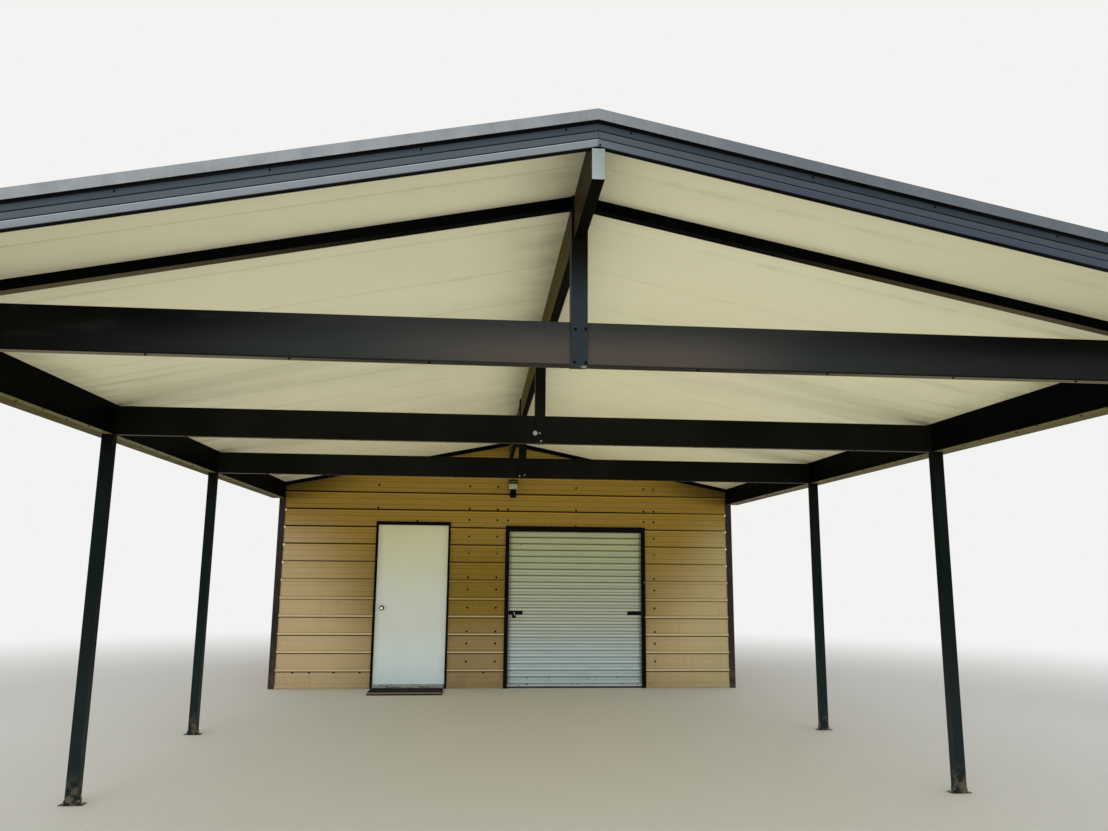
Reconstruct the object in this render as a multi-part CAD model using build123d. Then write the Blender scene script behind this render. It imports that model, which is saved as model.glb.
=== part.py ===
"""Gabled aluminium carport built on to the front of a small steel shed.

Millimetres, +Z up. The open end faces -Y, X runs across the span, and the origin is on the
floor under the middle of the whole building.
"""
from build123d import *
import os

# Heights, slope and sections of the carport frame
BEAM_BOTTOM = 2438.0       # clear height under the eave and tie beams
BEAM_HEIGHT = 203.0
BEAM_WIDTH = 51.0
SEAM_WIDTH = 3.0           # open line where the two halves of a beam meet
SEAM_DEPTH = 2.0
HALF_SPAN = 3036.0         # middle of the span to the outer face of an eave beam
SLOPE = 0.2025             # rise of the roof over its run
POST_SIZE = 76.0
POST_ROUND = 3.0
CLIP_LEG = 38.0            # angle clip at the foot of a post
CLIP_THICK = 4.0
RAFTER_DEPTH = 52.0        # measured plumb
RAFTER_WIDTH = 51.0
RIDGE_PACKING = 16.0       # peak of the ridge beam above its plain height

# Bays, counted from the shed wall towards the open end
REAR_BAY = 3074.0          # shed wall to the middle of the rear tie beam
BAY = 2438.0
FRONT_OVERHANG = 620.0     # middle of the front tie beam to the front edge of the roof

# Roof panels and their edges
PANEL_THICK = 76.0
PANEL_WIDTH = 612.0
PANEL_FIRST = 280.0        # the front panel is cut to this width
PANEL_LAP = 55.0           # panel edge past the outer face of the eave beam
PANEL_JOINT_WIDTH = 2.0
PANEL_JOINT_DEPTH = 1.0
ROOF_RIB_WIDTH = 36.0
ROOF_RIB_HEIGHT = 19.0
ROOF_RIB_TOP = 18.0
CAP_HALF_WIDTH = 160.0
CAP_THICK = 3.0
CAP_SET_BACK = 10.0        # front end of the cap behind the front edge of the panels
FASCIA_THICK = 45.0
FASCIA_DROP = 90.0         # bottom edge of the fascia below the ceiling
FASCIA_RISE = 32.0         # top edge of the fascia above the ceiling
RECESS_HEIGHT = 16.0       # shaded strip between the edge trim and the upper band
RECESS_DEPTH = 12.0
BAND_HEIGHT = 28.0
GROOVE_WIDTH = 4.5
GROOVE_DEPTH = 6.0
BEAD_PROUD = 5.0           # crown of the bead in front of the bands
BEAD_CROWN = 15.4          # top of the bead down to its crown
BEAD_TUCK = 15.0           # how far the bead curls back under
EDGE_TRIM_THICK = 3.0
EDGE_TRIM_FLANGE = 60.0    # how far the trim laps on to the panels
GUTTER_WIDTH = 127.0
GUTTER_FRONT_HEIGHT = 165.0
GUTTER_WALL = 3.0
GUTTER_TOE = 12.0          # the front face leans out above this narrower foot
GUTTER_TOE_HEIGHT = 45.0
GUTTER_LIP = 14.0

# Shed
SHED_HALF_WIDTH = HALF_SPAN + 12.0   # siding just outside the eave beams
SHED_DEPTH = 3658.0
WALL_THICK = 64.0
SIDING_PITCH = 229.0
SIDING_RIB_HEIGHT = 19.0
SIDING_RIB_BASE = 52.0
SIDING_RIB_CREST = 20.0
CORNER_TRIM_LEG = 82.0
CORNER_TRIM_THICK = 12.0
SHED_EAVE_OVERHANG = 75.0
SHED_EDGE_THICK = 20.0
SHED_EAVE_DROP = 60.0
SHED_RAKE_DROP = 90.0

# Walk-in door; its visible face is the leaf less what the stops cover
DOOR_LEFT = -1746.0
DOOR_VISIBLE_WIDTH = 925.0
DOOR_VISIBLE_HEIGHT = 2055.0
DOOR_SILL_HEIGHT = 43.0
DOOR_GAP = 7.0
DOOR_THICK = 44.0
LEAF_ROUND = 2.0
DOOR_FRAME_FACE = 30.0
DOOR_HEAD_FACE = 46.0
DOOR_FRAME_PROUD = 22.0    # frame in front of the flat of the siding
STOP_LAP = 3.0
STOP_THICK = 6.0
STOP_GAP = 5.0
KNOB_INSET = 81.0          # knob centre from the visible left edge
KNOB_HEIGHT = 1020.0
KNOB_RADIUS = 27.0
KNOB_REACH = 62.0
KNOB_FLAT = 6.0            # cut off the outer end of the ball
KNOB_NECK_WALL = 4.0
ROSE_RADIUS = 32.0
ROSE_THICK = 8.0
SPINDLE_RADIUS = 6.0
SPINDLE_CLEARANCE = 1.0
SPINDLE_IN_ROSE = 1.0
HINGE_RADIUS = 6.0
HINGE_PIN_RADIUS = 2.5
HINGE_CLEARANCE = 0.3
HINGE_HEIGHT = 100.0
HINGE_PLATE_WIDTH = 28.0
HINGE_PLATE_THICK = 3.0
HINGE_END_INSET = 180.0    # hinge end to the top or bottom of the leaf
STEP_WIDTH = 920.0
STEP_DEPTH = 590.0
STEP_HEIGHT = 34.0
STEP_BEVEL = 12.0

# Roll-up door
SHUTTER_LEFT = -3.0
SHUTTER_WIDTH = 1796.0
SHUTTER_HEIGHT = 2037.0
SHUTTER_FRAME_FACE = 52.0
SHUTTER_HEAD_FACE = 74.0
SHUTTER_SET_BACK = 14.0    # curtain front behind the flat of the siding
CORRUGATION_PITCH = 84.5
CORRUGATION_CROWN = 45.5   # width of the rounded crown
CROWN_RISE = 5.0
VALLEY_DEPTH = 9.0
CURTAIN_THICK = 3.0
CURTAIN_IN_GUIDE = 22.0
GUIDE_CLEARANCE = 0.3
BOTTOM_BAR_HEIGHT = 56.0
BOTTOM_BAR_THICK = 20.0
BAR_FOOT_HEIGHT = 22.0     # rubber foot of the bar
BAR_FOOT_PROUD = 3.0       # foot past the bar, front and back
BAR_FOOT_ROUND = 6.0
LATCH_VALLEY = 10          # corrugations below the valley that the latch lies over
LATCH_GAP = 0.2            # plate's edges to the crowns they rest against
LATCH_LENGTH = 185.0
LATCH_INSET = 6.0          # latch end to the edge of the guide
LATCH_TALL = 52.0
LATCH_PLATE = 4.0
LATCH_BAR_RADIUS = 7.0
LATCH_BAR_SEAT = 2.0       # how deep the bolt lies in its plate
KEEPER_PLACES = (0.2, 0.8)  # shares of the latch's length
KEEPER_WIDTH = 16.0
KEEPER_WALL = 3.0
COIL_RADIUS = 165.0
COIL_AXLE_RADIUS = 20.0
COIL_BRACKET_THICK = 6.0
COIL_CLEARANCE = 12.0      # coil to the inside of the wall and to the brackets

# Wall lantern
LAMP_X = 33.0
LAMP_BOTTOM = 2485.0
LAMP_FOOT_HEIGHT = 87.0    # bulging foot
LAMP_TRAY_HEIGHT = 24.0    # tray that opens out under the glass
LAMP_GLASS_HEIGHT = 86.0
LAMP_CAP_HEIGHT = 49.0
LAMP_FOOT_RADIUS = 36.0    # at its bottom
LAMP_BULGE_RADIUS = 49.0
LAMP_BULGE_HEIGHT = 44.0   # widest part above the bottom
LAMP_NECK_RADIUS = 30.0
LAMP_GLASS_RADIUS = 54.0
LAMP_GLASS_WALL = 4.0
LAMP_CAP_RADIUS = 66.0
LAMP_CAP_TOP_RADIUS = 18.0
LAMP_ARM_SIZE = 26.0

# Places worked out from the sizes above
CARPORT_LENGTH = REAR_BAY + 2 * BAY + FRONT_OVERHANG
REAR_EDGE = SIDING_RIB_HEIGHT + SHED_EDGE_THICK
BUILDING_LENGTH = FASCIA_THICK + CARPORT_LENGTH + SHED_DEPTH + REAR_EDGE
Y_ROOF_FRONT = -BUILDING_LENGTH / 2 + FASCIA_THICK
Y_WALL = Y_ROOF_FRONT + CARPORT_LENGTH
Y_BACK = Y_WALL + SHED_DEPTH
Y_INSIDE = Y_WALL + WALL_THICK
BEAM_TOP = BEAM_BOTTOM + BEAM_HEIGHT
EAVE_INNER = HALF_SPAN - BEAM_WIDTH
HALF_BEAM = BEAM_WIDTH / 2
HALF_POST = POST_SIZE / 2
TRIM_FACE = Y_WALL - CORNER_TRIM_THICK
TRIM_OUTER = SHED_HALF_WIDTH + CORNER_TRIM_THICK
TRIM_INNER = TRIM_OUTER - CORNER_TRIM_LEG
RIB_FACE = Y_WALL - SIDING_RIB_HEIGHT
SHED_ROOF_EDGE = SHED_HALF_WIDTH + SHED_EAVE_OVERHANG
TIE_BEAM_Y = {
    "rear": Y_WALL - REAR_BAY,
    "middle": Y_WALL - REAR_BAY - BAY,
    "front": Y_WALL - REAR_BAY - 2 * BAY,
}
SIDES = {"left": -1, "right": 1}


def ceiling(x):
    """Height of the underside of the roof at a distance from the middle."""
    return BEAM_TOP + SLOPE * (HALF_SPAN - abs(x))


CEILING_RIDGE = ceiling(0)
RIDGE_BEAM_TOP = ceiling(HALF_BEAM)
RIDGE_BEAM_BOTTOM = CEILING_RIDGE - RIDGE_PACKING - BEAM_HEIGHT


def block(x0, x1, y0, y1, z0, z1):
    """A plain block between two corners."""
    size = (abs(x1 - x0), abs(y1 - y0), abs(z1 - z0))
    return Pos((x0 + x1) / 2, (y0 + y1) / 2, (z0 + z1) / 2) * Box(*size)


def push(points, direction):
    """A flat outline pushed along one direction into a solid."""
    return Solid.extrude(Face(Wire.make_polygon(points)), Vector(*direction))


def along_y(outline, y0, y1):
    """An outline of (x, z) points made into a prism from y0 to y1."""
    return push([(x, y0, z) for x, z in outline], (0, y1 - y0, 0))


def down_slope(section, side, x0, x1):
    """A plumb section of (y, height above the ceiling) carried down one slope of the roof."""
    start = [(side * x0, y, ceiling(x0) + h) for y, h in section]
    run = x1 - x0
    return push(start, (side * run, 0, -SLOPE * run))


def beam_outline(middle, bottom, top_left, top_right):
    """Beam section of (x, z) points, with the seam of its two halves in the underside."""
    return [
        (middle - HALF_BEAM, bottom),
        (middle - SEAM_WIDTH / 2, bottom),
        (middle - SEAM_WIDTH / 2, bottom + SEAM_DEPTH),
        (middle + SEAM_WIDTH / 2, bottom + SEAM_DEPTH),
        (middle + SEAM_WIDTH / 2, bottom),
        (middle + HALF_BEAM, bottom),
        (middle + HALF_BEAM, top_right),
        (middle - HALF_BEAM, top_left),
    ]


def make_post(side, y):
    """Square post under an eave beam, held to the floor by an angle clip on two faces."""
    x_inner = side * EAVE_INNER
    x_outer = side * (EAVE_INNER + POST_SIZE)
    shaft = block(x_inner, x_outer, y - HALF_POST, y + HALF_POST, 0, BEAM_BOTTOM)
    shaft = fillet(shaft.edges().filter_by(Axis.Z), POST_ROUND)
    clips = []
    for face, outward in ((x_inner, -side), (x_outer, side)):
        half_clip = HALF_POST - POST_ROUND
        upright = block(face, face + outward * CLIP_THICK, y - half_clip, y + half_clip, 0, CLIP_LEG)
        foot = block(face, face + outward * CLIP_LEG, y - half_clip, y + half_clip, 0, CLIP_THICK)
        clips.append(upright + foot)
    return shaft + clips


def make_eave_beam(side):
    """Eave beam from the roof's front edge to the shed; its top follows the roof slope."""
    outer_top = BEAM_TOP
    inner_top = ceiling(EAVE_INNER)
    tops = (outer_top, inner_top) if side < 0 else (inner_top, outer_top)
    outline = beam_outline(side * (HALF_SPAN - HALF_BEAM), BEAM_BOTTOM, *tops)
    return along_y(outline, Y_ROOF_FRONT, TRIM_FACE)


def make_tie_beam(y):
    """Tie beam between the inner faces of the two eave beams."""
    section = [(y + u, z) for u, z in beam_outline(0, BEAM_BOTTOM, BEAM_TOP, BEAM_TOP)]
    start = [(-EAVE_INNER, v, z) for v, z in section]
    return push(start, (2 * EAVE_INNER, 0, 0))


def make_ridge_beam():
    """Ridge beam from the fascia to the shed wall; its top is peaked to seat both slopes."""
    outline = beam_outline(0, RIDGE_BEAM_BOTTOM, RIDGE_BEAM_TOP, RIDGE_BEAM_TOP)
    outline.insert(-1, (0, CEILING_RIDGE))
    return along_y(outline, Y_ROOF_FRONT, RIB_FACE)


def make_king_post(y):
    """King post slotted over the tie beam below and over the ridge beam above."""
    outline = [
        (-HALF_POST, BEAM_BOTTOM),
        (HALF_POST, BEAM_BOTTOM),
        (HALF_POST, ceiling(HALF_POST)),
        (0, CEILING_RIDGE),
        (-HALF_POST, ceiling(HALF_POST)),
    ]
    post = along_y(outline, y - HALF_POST, y + HALF_POST)
    tie_slot = block(-POST_SIZE, POST_SIZE, y - HALF_BEAM, y + HALF_BEAM, 0, BEAM_TOP)
    ridge_slot = block(-HALF_BEAM, HALF_BEAM, y - POST_SIZE, y + POST_SIZE,
                       RIDGE_BEAM_BOTTOM, CEILING_RIDGE + PANEL_THICK)
    return post - tie_slot - ridge_slot


def make_front_rafter(side):
    """Top chord of the front truss; its lower end is cut level to sit on the tie beam."""
    seat = HALF_SPAN - RAFTER_DEPTH / SLOPE
    outline = [
        (side * HALF_POST, ceiling(HALF_POST)),
        (side * EAVE_INNER, ceiling(EAVE_INNER)),
        (side * EAVE_INNER, BEAM_TOP),
        (side * seat, BEAM_TOP),
        (side * HALF_POST, ceiling(HALF_POST) - RAFTER_DEPTH),
    ]
    y = TIE_BEAM_Y["front"]
    return along_y(outline, y - RAFTER_WIDTH / 2, y + RAFTER_WIDTH / 2)


def make_wall_rafter(side):
    """Rafter fixed against the shed wall under the back edge of the roof panels."""
    outline = [
        (side * HALF_BEAM, ceiling(HALF_BEAM)),
        (side * EAVE_INNER, ceiling(EAVE_INNER)),
        (side * EAVE_INNER, ceiling(EAVE_INNER) - RAFTER_DEPTH),
        (side * HALF_BEAM, ceiling(HALF_BEAM) - RAFTER_DEPTH),
    ]
    return along_y(outline, RIB_FACE - RAFTER_WIDTH, RIB_FACE)


def rib_points(centre, height):
    """Section of one roof rib as (y, height) points."""
    return [
        (centre - ROOF_RIB_WIDTH / 2, height),
        (centre - ROOF_RIB_TOP / 2, height + ROOF_RIB_HEIGHT),
        (centre + ROOF_RIB_TOP / 2, height + ROOF_RIB_HEIGHT),
        (centre + ROOF_RIB_WIDTH / 2, height),
    ]


def make_roof_panels(side):
    """Insulated panels of one slope, with a rib over and a fine joint under each seam."""
    whole = int((CARPORT_LENGTH - PANEL_FIRST - ROOF_RIB_WIDTH) / PANEL_WIDTH)
    seams = [Y_ROOF_FRONT + PANEL_FIRST + PANEL_WIDTH * i for i in range(whole + 1)]
    half_joint = PANEL_JOINT_WIDTH / 2
    section = [(Y_ROOF_FRONT, 0), (Y_ROOF_FRONT, PANEL_THICK)]
    for y in seams:
        section += rib_points(y, PANEL_THICK)
    section += [(Y_WALL, PANEL_THICK), (Y_WALL, 0)]
    for y in reversed(seams):
        section += [
            (y + half_joint, 0),
            (y + half_joint, PANEL_JOINT_DEPTH),
            (y - half_joint, PANEL_JOINT_DEPTH),
            (y - half_joint, 0),
        ]
    return down_slope(section, side, 0, HALF_SPAN + PANEL_LAP)


def make_ridge_cap():
    """Bent cap over the ridge, resting on the ribs of both roofs and hidden from the front."""
    under = PANEL_THICK + ROOF_RIB_HEIGHT
    over = under + CAP_THICK
    edge_z = ceiling(CAP_HALF_WIDTH)
    outline = [
        (0, CEILING_RIDGE + over),
        (CAP_HALF_WIDTH, edge_z + over),
        (CAP_HALF_WIDTH, edge_z + under),
        (0, CEILING_RIDGE + under),
        (-CAP_HALF_WIDTH, edge_z + under),
        (-CAP_HALF_WIDTH, edge_z + over),
    ]
    return along_y(outline, Y_ROOF_FRONT + CAP_SET_BACK, Y_BACK + REAR_EDGE)


def make_rake_fascia(side):
    """Roll-formed fascia on the sloping front edge of the roof, mitred at the ridge: a recess, two
    flat bands with grooves under them, and a bead that curls back underneath."""
    face = Y_ROOF_FRONT - FASCIA_THICK + BEAD_PROUD
    groove = face + GROOVE_DEPTH
    recess = face + RECESS_DEPTH
    bead_back = face + BEAD_TUCK
    upper_top = FASCIA_RISE - RECESS_HEIGHT
    upper_bottom = upper_top - BAND_HEIGHT
    lower_top = upper_bottom - GROOVE_WIDTH
    lower_bottom = lower_top - BAND_HEIGHT
    bead_top = lower_bottom - GROOVE_WIDTH
    corners = [
        (bead_back, -FASCIA_DROP), (Y_ROOF_FRONT, -FASCIA_DROP),
        (Y_ROOF_FRONT, FASCIA_RISE), (recess, FASCIA_RISE),
        (recess, upper_top), (face, upper_top),
        (face, upper_bottom), (groove, upper_bottom),
        (groove, lower_top), (face, lower_top),
        (face, lower_bottom), (groove, lower_bottom),
        (groove, bead_top), (face, bead_top),
    ]
    line = [(0, y, CEILING_RIDGE + height) for y, height in corners]
    crown = (0, Y_ROOF_FRONT - FASCIA_THICK, CEILING_RIDGE + bead_top - BEAD_CROWN)
    edges = [Line(a, b) for a, b in zip(line, line[1:])]
    edges.append(ThreePointArc(line[-1], crown, line[0]))
    run = HALF_SPAN + GUTTER_WIDTH
    return Solid.extrude(Face(Wire(edges)), Vector(side * run, 0, -SLOPE * run))


def make_edge_trim(side):
    """Bent trim that closes the panel edge above the fascia: it laps on to the roof, stands out over
    the fascia's recess and folds back on to the fascia's top."""
    face = Y_ROOF_FRONT - FASCIA_THICK
    lap = Y_ROOF_FRONT + EDGE_TRIM_FLANGE
    section = [
        (face, FASCIA_RISE),
        (face, PANEL_THICK + EDGE_TRIM_THICK),
        (lap, PANEL_THICK + EDGE_TRIM_THICK),
        (lap, PANEL_THICK),
        (face + EDGE_TRIM_THICK, PANEL_THICK),
        (face + EDGE_TRIM_THICK, FASCIA_RISE + EDGE_TRIM_THICK),
        (Y_ROOF_FRONT, FASCIA_RISE + EDGE_TRIM_THICK),
        (Y_ROOF_FRONT, FASCIA_RISE),
    ]
    return down_slope(section, side, 0, HALF_SPAN + PANEL_LAP)


def make_gutter(side):
    """Open box gutter along the eave beam, with a leaning toe, a front lip and two end caps."""
    back = HALF_SPAN
    front = HALF_SPAN + GUTTER_WIDTH
    bottom = BEAM_BOTTOM
    wall = GUTTER_WALL
    back_top = ceiling(back + wall)
    front_top = bottom + GUTTER_FRONT_HEIGHT
    outer = [
        (back, back_top),
        (back, bottom),
        (front - GUTTER_TOE, bottom),
        (front, bottom + GUTTER_TOE_HEIGHT),
        (front, front_top),
        (front - GUTTER_LIP, front_top),
        (front - GUTTER_LIP, front_top - wall),
    ]
    inner = [
        (front - wall, front_top - wall),
        (front - wall, bottom + GUTTER_TOE_HEIGHT),
        (front - GUTTER_TOE - wall, bottom + wall),
        (back + wall, bottom + wall),
        (back + wall, back_top),
    ]
    outline = [(side * x, z) for x, z in outer + inner]
    trough = along_y(outline, Y_ROOF_FRONT, TRIM_FACE)
    cap_outline = [
        (side * back, front_top),
        (side * back, bottom),
        (side * (front - GUTTER_TOE), bottom),
        (side * front, bottom + GUTTER_TOE_HEIGHT),
        (side * front, front_top),
    ]
    front_cap = along_y(cap_outline, Y_ROOF_FRONT, Y_ROOF_FRONT + wall)
    rear_cap = along_y(cap_outline, TRIM_FACE - wall, TRIM_FACE)
    return trough + front_cap + rear_cap


def gable_outline(x0, x1, z0):
    """(x, z) outline of a gable wall piece from z0 up to the underside of the roof."""
    outline = [(x0, z0), (x1, z0), (x1, ceiling(x1))]
    if x0 < 0 < x1:
        outline.append((0, CEILING_RIDGE))
    return outline + [(x0, ceiling(x0))]


def siding_rib(height):
    """Section of one siding rib as (distance out, height) points."""
    return [
        (0, height - SIDING_RIB_BASE / 2),
        (SIDING_RIB_HEIGHT, height - SIDING_RIB_CREST / 2),
        (SIDING_RIB_HEIGHT, height + SIDING_RIB_CREST / 2),
        (0, height + SIDING_RIB_BASE / 2),
    ]


def rib_heights():
    """Heights of the siding ribs up to the ridge."""
    count = int(CEILING_RIDGE / SIDING_PITCH)
    return [SIDING_PITCH * i for i in range(1, count + 1)]


def make_gable_wall_piece(x0, x1, z0, face, outward):
    """Part of a gable wall: a framed slab with level siding ribs between the corner trims."""
    outline = gable_outline(x0, x1, z0)
    wall = along_y(outline, face, face - outward * WALL_THICK)
    room = along_y(outline, face - outward * WALL_THICK, face + outward * SIDING_RIB_HEIGHT)
    rib_start = max(x0, -TRIM_INNER)
    rib_end = min(x1, TRIM_INNER)
    ribs = []
    for height in rib_heights():
        if height + SIDING_RIB_BASE / 2 <= z0:
            continue
        points = [(rib_start, face + outward * out, z) for out, z in siding_rib(height)]
        rib = push(points, (rib_end - rib_start, 0, 0)) & room
        if rib is not None and rib.volume > 1:
            ribs.append(rib)
    return wall + ribs


def make_side_wall(side):
    """Side wall of the shed between the two gable walls."""
    face = side * SHED_HALF_WIDTH
    inside = side * (SHED_HALF_WIDTH - WALL_THICK)
    outline = [
        (face, 0),
        (face, ceiling(SHED_HALF_WIDTH)),
        (inside, ceiling(SHED_HALF_WIDTH - WALL_THICK)),
        (inside, 0),
    ]
    wall = along_y(outline, Y_INSIDE, Y_BACK - WALL_THICK)
    rib_start = TRIM_FACE + CORNER_TRIM_LEG
    rib_run = Y_BACK + CORNER_TRIM_THICK - CORNER_TRIM_LEG - rib_start
    ribs = []
    for height in rib_heights():
        if height + SIDING_RIB_BASE / 2 > ceiling(TRIM_OUTER):
            continue
        points = [(face + side * out, rib_start, z) for out, z in siding_rib(height)]
        ribs.append(push(points, (0, rib_run, 0)))
    return wall + ribs


def make_corner_trim(side, end):
    """Angle trim that wraps one corner of the shed from the floor to the roof."""
    flat = Y_WALL if end < 0 else Y_BACK
    outer = flat + end * CORNER_TRIM_THICK
    face_leg = [
        (side * TRIM_INNER, 0),
        (side * TRIM_OUTER, 0),
        (side * TRIM_OUTER, ceiling(TRIM_OUTER)),
        (side * TRIM_INNER, ceiling(TRIM_INNER)),
    ]
    side_leg = [
        (side * SHED_HALF_WIDTH, 0),
        (side * TRIM_OUTER, 0),
        (side * TRIM_OUTER, ceiling(TRIM_OUTER)),
        (side * SHED_HALF_WIDTH, ceiling(SHED_HALF_WIDTH)),
    ]
    return along_y(face_leg, outer, flat) + along_y(side_leg, outer, outer - end * CORNER_TRIM_LEG)


def make_shed_roof(side):
    """Ribbed shed roof of one slope."""
    rear = Y_BACK + REAR_EDGE
    count = int((SHED_DEPTH + REAR_EDGE) / SIDING_PITCH)
    section = [(Y_WALL, 0), (Y_WALL, PANEL_THICK)]
    for i in range(1, count + 1):
        section += rib_points(Y_WALL + SIDING_PITCH * (i - 0.5), PANEL_THICK)
    section += [(rear, PANEL_THICK), (rear, 0)]
    return down_slope(section, side, 0, SHED_ROOF_EDGE)


def make_shed_rake_trim(side):
    """Board-like trim under the sloping rear edge of the shed roof."""
    rear = Y_BACK + REAR_EDGE
    inner = rear - SHED_EDGE_THICK
    section = [(inner, -SHED_RAKE_DROP), (rear, -SHED_RAKE_DROP), (rear, 0), (inner, 0)]
    return down_slope(section, side, 0, SHED_ROOF_EDGE)


def make_shed_eave_trim(side):
    """Trim under the eave of the shed roof, from the front wall to the rear trim."""
    inner = SHED_ROOF_EDGE - SHED_EDGE_THICK
    bottom = ceiling(SHED_ROOF_EDGE) - SHED_EAVE_DROP
    outline = [
        (side * SHED_ROOF_EDGE, bottom),
        (side * SHED_ROOF_EDGE, ceiling(SHED_ROOF_EDGE)),
        (side * inner, ceiling(inner)),
        (side * inner, bottom),
    ]
    return along_y(outline, Y_WALL, Y_BACK + REAR_EDGE - SHED_EDGE_THICK)


# Door places
DOOR_RIGHT = DOOR_LEFT + DOOR_VISIBLE_WIDTH
DOOR_BOTTOM = DOOR_SILL_HEIGHT + DOOR_GAP
DOOR_TOP = DOOR_BOTTOM + DOOR_VISIBLE_HEIGHT
LEAF_LEFT = DOOR_LEFT - STOP_LAP
LEAF_RIGHT = DOOR_RIGHT + STOP_LAP
LEAF_TOP = DOOR_TOP + STOP_LAP
LEAF_FRONT = Y_INSIDE - DOOR_THICK
FRAME_LEFT = DOOR_LEFT - DOOR_FRAME_FACE
FRAME_RIGHT = DOOR_RIGHT + DOOR_FRAME_FACE
FRAME_TOP = DOOR_TOP + DOOR_HEAD_FACE
HINGE_X = LEAF_RIGHT + DOOR_GAP / 2
HINGE_Y = Y_INSIDE + HINGE_RADIUS
SHUTTER_RIGHT = SHUTTER_LEFT + SHUTTER_WIDTH
SHUTTER_FRAME_LEFT = SHUTTER_LEFT - SHUTTER_FRAME_FACE
SHUTTER_FRAME_RIGHT = SHUTTER_RIGHT + SHUTTER_FRAME_FACE
SHUTTER_FRAME_TOP = SHUTTER_HEIGHT + SHUTTER_HEAD_FACE
KNOB_X = DOOR_LEFT + KNOB_INSET


def make_door_frame():
    """Door frame with a sill; thin stops stand in front of the leaf on three sides."""
    front = Y_WALL - DOOR_FRAME_PROUD
    frame = block(FRAME_LEFT, FRAME_RIGHT, front, Y_INSIDE, 0, FRAME_TOP)
    swing = block(LEAF_LEFT - DOOR_GAP, LEAF_RIGHT + DOOR_GAP, front, Y_INSIDE,
                  DOOR_SILL_HEIGHT, LEAF_TOP + DOOR_GAP)
    stop_back = LEAF_FRONT - STOP_GAP
    stop = block(LEAF_LEFT - DOOR_GAP, LEAF_RIGHT + DOOR_GAP, stop_back - STOP_THICK, stop_back,
                 DOOR_SILL_HEIGHT, LEAF_TOP + DOOR_GAP)
    view = block(DOOR_LEFT, DOOR_RIGHT, stop_back - STOP_THICK, stop_back, DOOR_SILL_HEIGHT, DOOR_TOP)
    return frame - swing + (stop - view)


def make_door_leaf():
    """Flush door leaf with softened edges and a bore for the knob's spindle."""
    leaf = block(LEAF_LEFT, LEAF_RIGHT, LEAF_FRONT, Y_INSIDE, DOOR_BOTTOM, LEAF_TOP)
    leaf = fillet(leaf.edges().filter_by(Axis.Z), LEAF_ROUND)
    bore = Cylinder(SPINDLE_RADIUS + SPINDLE_CLEARANCE, DOOR_THICK * 2, rotation=(90, 0, 0))
    return leaf - Pos(KNOB_X, LEAF_FRONT + DOOR_THICK / 2, KNOB_HEIGHT) * bore


def knob_half():
    """Rose, neck and ball of the knob turned about Z, standing on the door's face at z = 0."""
    ball_centre = KNOB_REACH - KNOB_RADIUS
    neck = SPINDLE_RADIUS + SPINDLE_CLEARANCE + KNOB_NECK_WALL
    rose = Cylinder(ROSE_RADIUS, ROSE_THICK, align=(Align.CENTER, Align.CENTER, Align.MIN))
    rose = chamfer(rose.edges().sort_by(Axis.Z)[-1], ROSE_THICK / 2)
    stem = Cylinder(neck, ball_centre, align=(Align.CENTER, Align.CENTER, Align.MIN))
    ball = Pos(0, 0, ball_centre) * Sphere(KNOB_RADIUS)
    flat_end = Pos(0, 0, KNOB_REACH - KNOB_FLAT) * Cylinder(
        KNOB_RADIUS, 2 * KNOB_FLAT, align=(Align.CENTER, Align.CENTER, Align.MIN))
    return rose + stem + ball - flat_end


def make_knob():
    """Knobs on both faces of the leaf, joined by the spindle through it."""
    outside = Pos(KNOB_X, LEAF_FRONT, KNOB_HEIGHT) * Rot(90, 0, 0) * knob_half()
    inside = Pos(KNOB_X, Y_INSIDE, KNOB_HEIGHT) * Rot(-90, 0, 0) * knob_half()
    spindle = Pos(KNOB_X, LEAF_FRONT + DOOR_THICK / 2, KNOB_HEIGHT) * Cylinder(
        SPINDLE_RADIUS, DOOR_THICK + 2 * SPINDLE_IN_ROSE, rotation=(90, 0, 0))
    return outside + inside + spindle


def hinge_bottoms():
    """Lower ends of the three hinges."""
    low = DOOR_BOTTOM + HINGE_END_INSET
    high = LEAF_TOP - HINGE_END_INSET - HINGE_HEIGHT
    return [low, (low + high) / 2, high]


def barrel(radius, z0, z1):
    """A length of round bar on the hinge line."""
    return Pos(HINGE_X, HINGE_Y, (z0 + z1) / 2) * Cylinder(radius, z1 - z0)


def make_hinge_pins():
    """Frame side of the hinges: pin, outer knuckles and a plate on the back of the frame."""
    hinges = []
    third = HINGE_HEIGHT / 3
    for z in hinge_bottoms():
        knuckles = barrel(HINGE_RADIUS, z, z + third)
        knuckles += barrel(HINGE_RADIUS, z + 2 * third, z + HINGE_HEIGHT)
        pin = barrel(HINGE_PIN_RADIUS, z, z + HINGE_HEIGHT)
        ears = []
        for low in (z, z + 2 * third):
            ears.append(block(HINGE_X, HINGE_X + HINGE_PLATE_WIDTH,
                              Y_INSIDE, Y_INSIDE + HINGE_PLATE_THICK, low, low + third))
        plate = block(HINGE_X + HINGE_RADIUS + DOOR_GAP / 2, HINGE_X + HINGE_PLATE_WIDTH,
                      Y_INSIDE, Y_INSIDE + HINGE_PLATE_THICK, z, z + HINGE_HEIGHT)
        hinges.append(knuckles + pin + ears + plate)
    return Compound(hinges)


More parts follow.
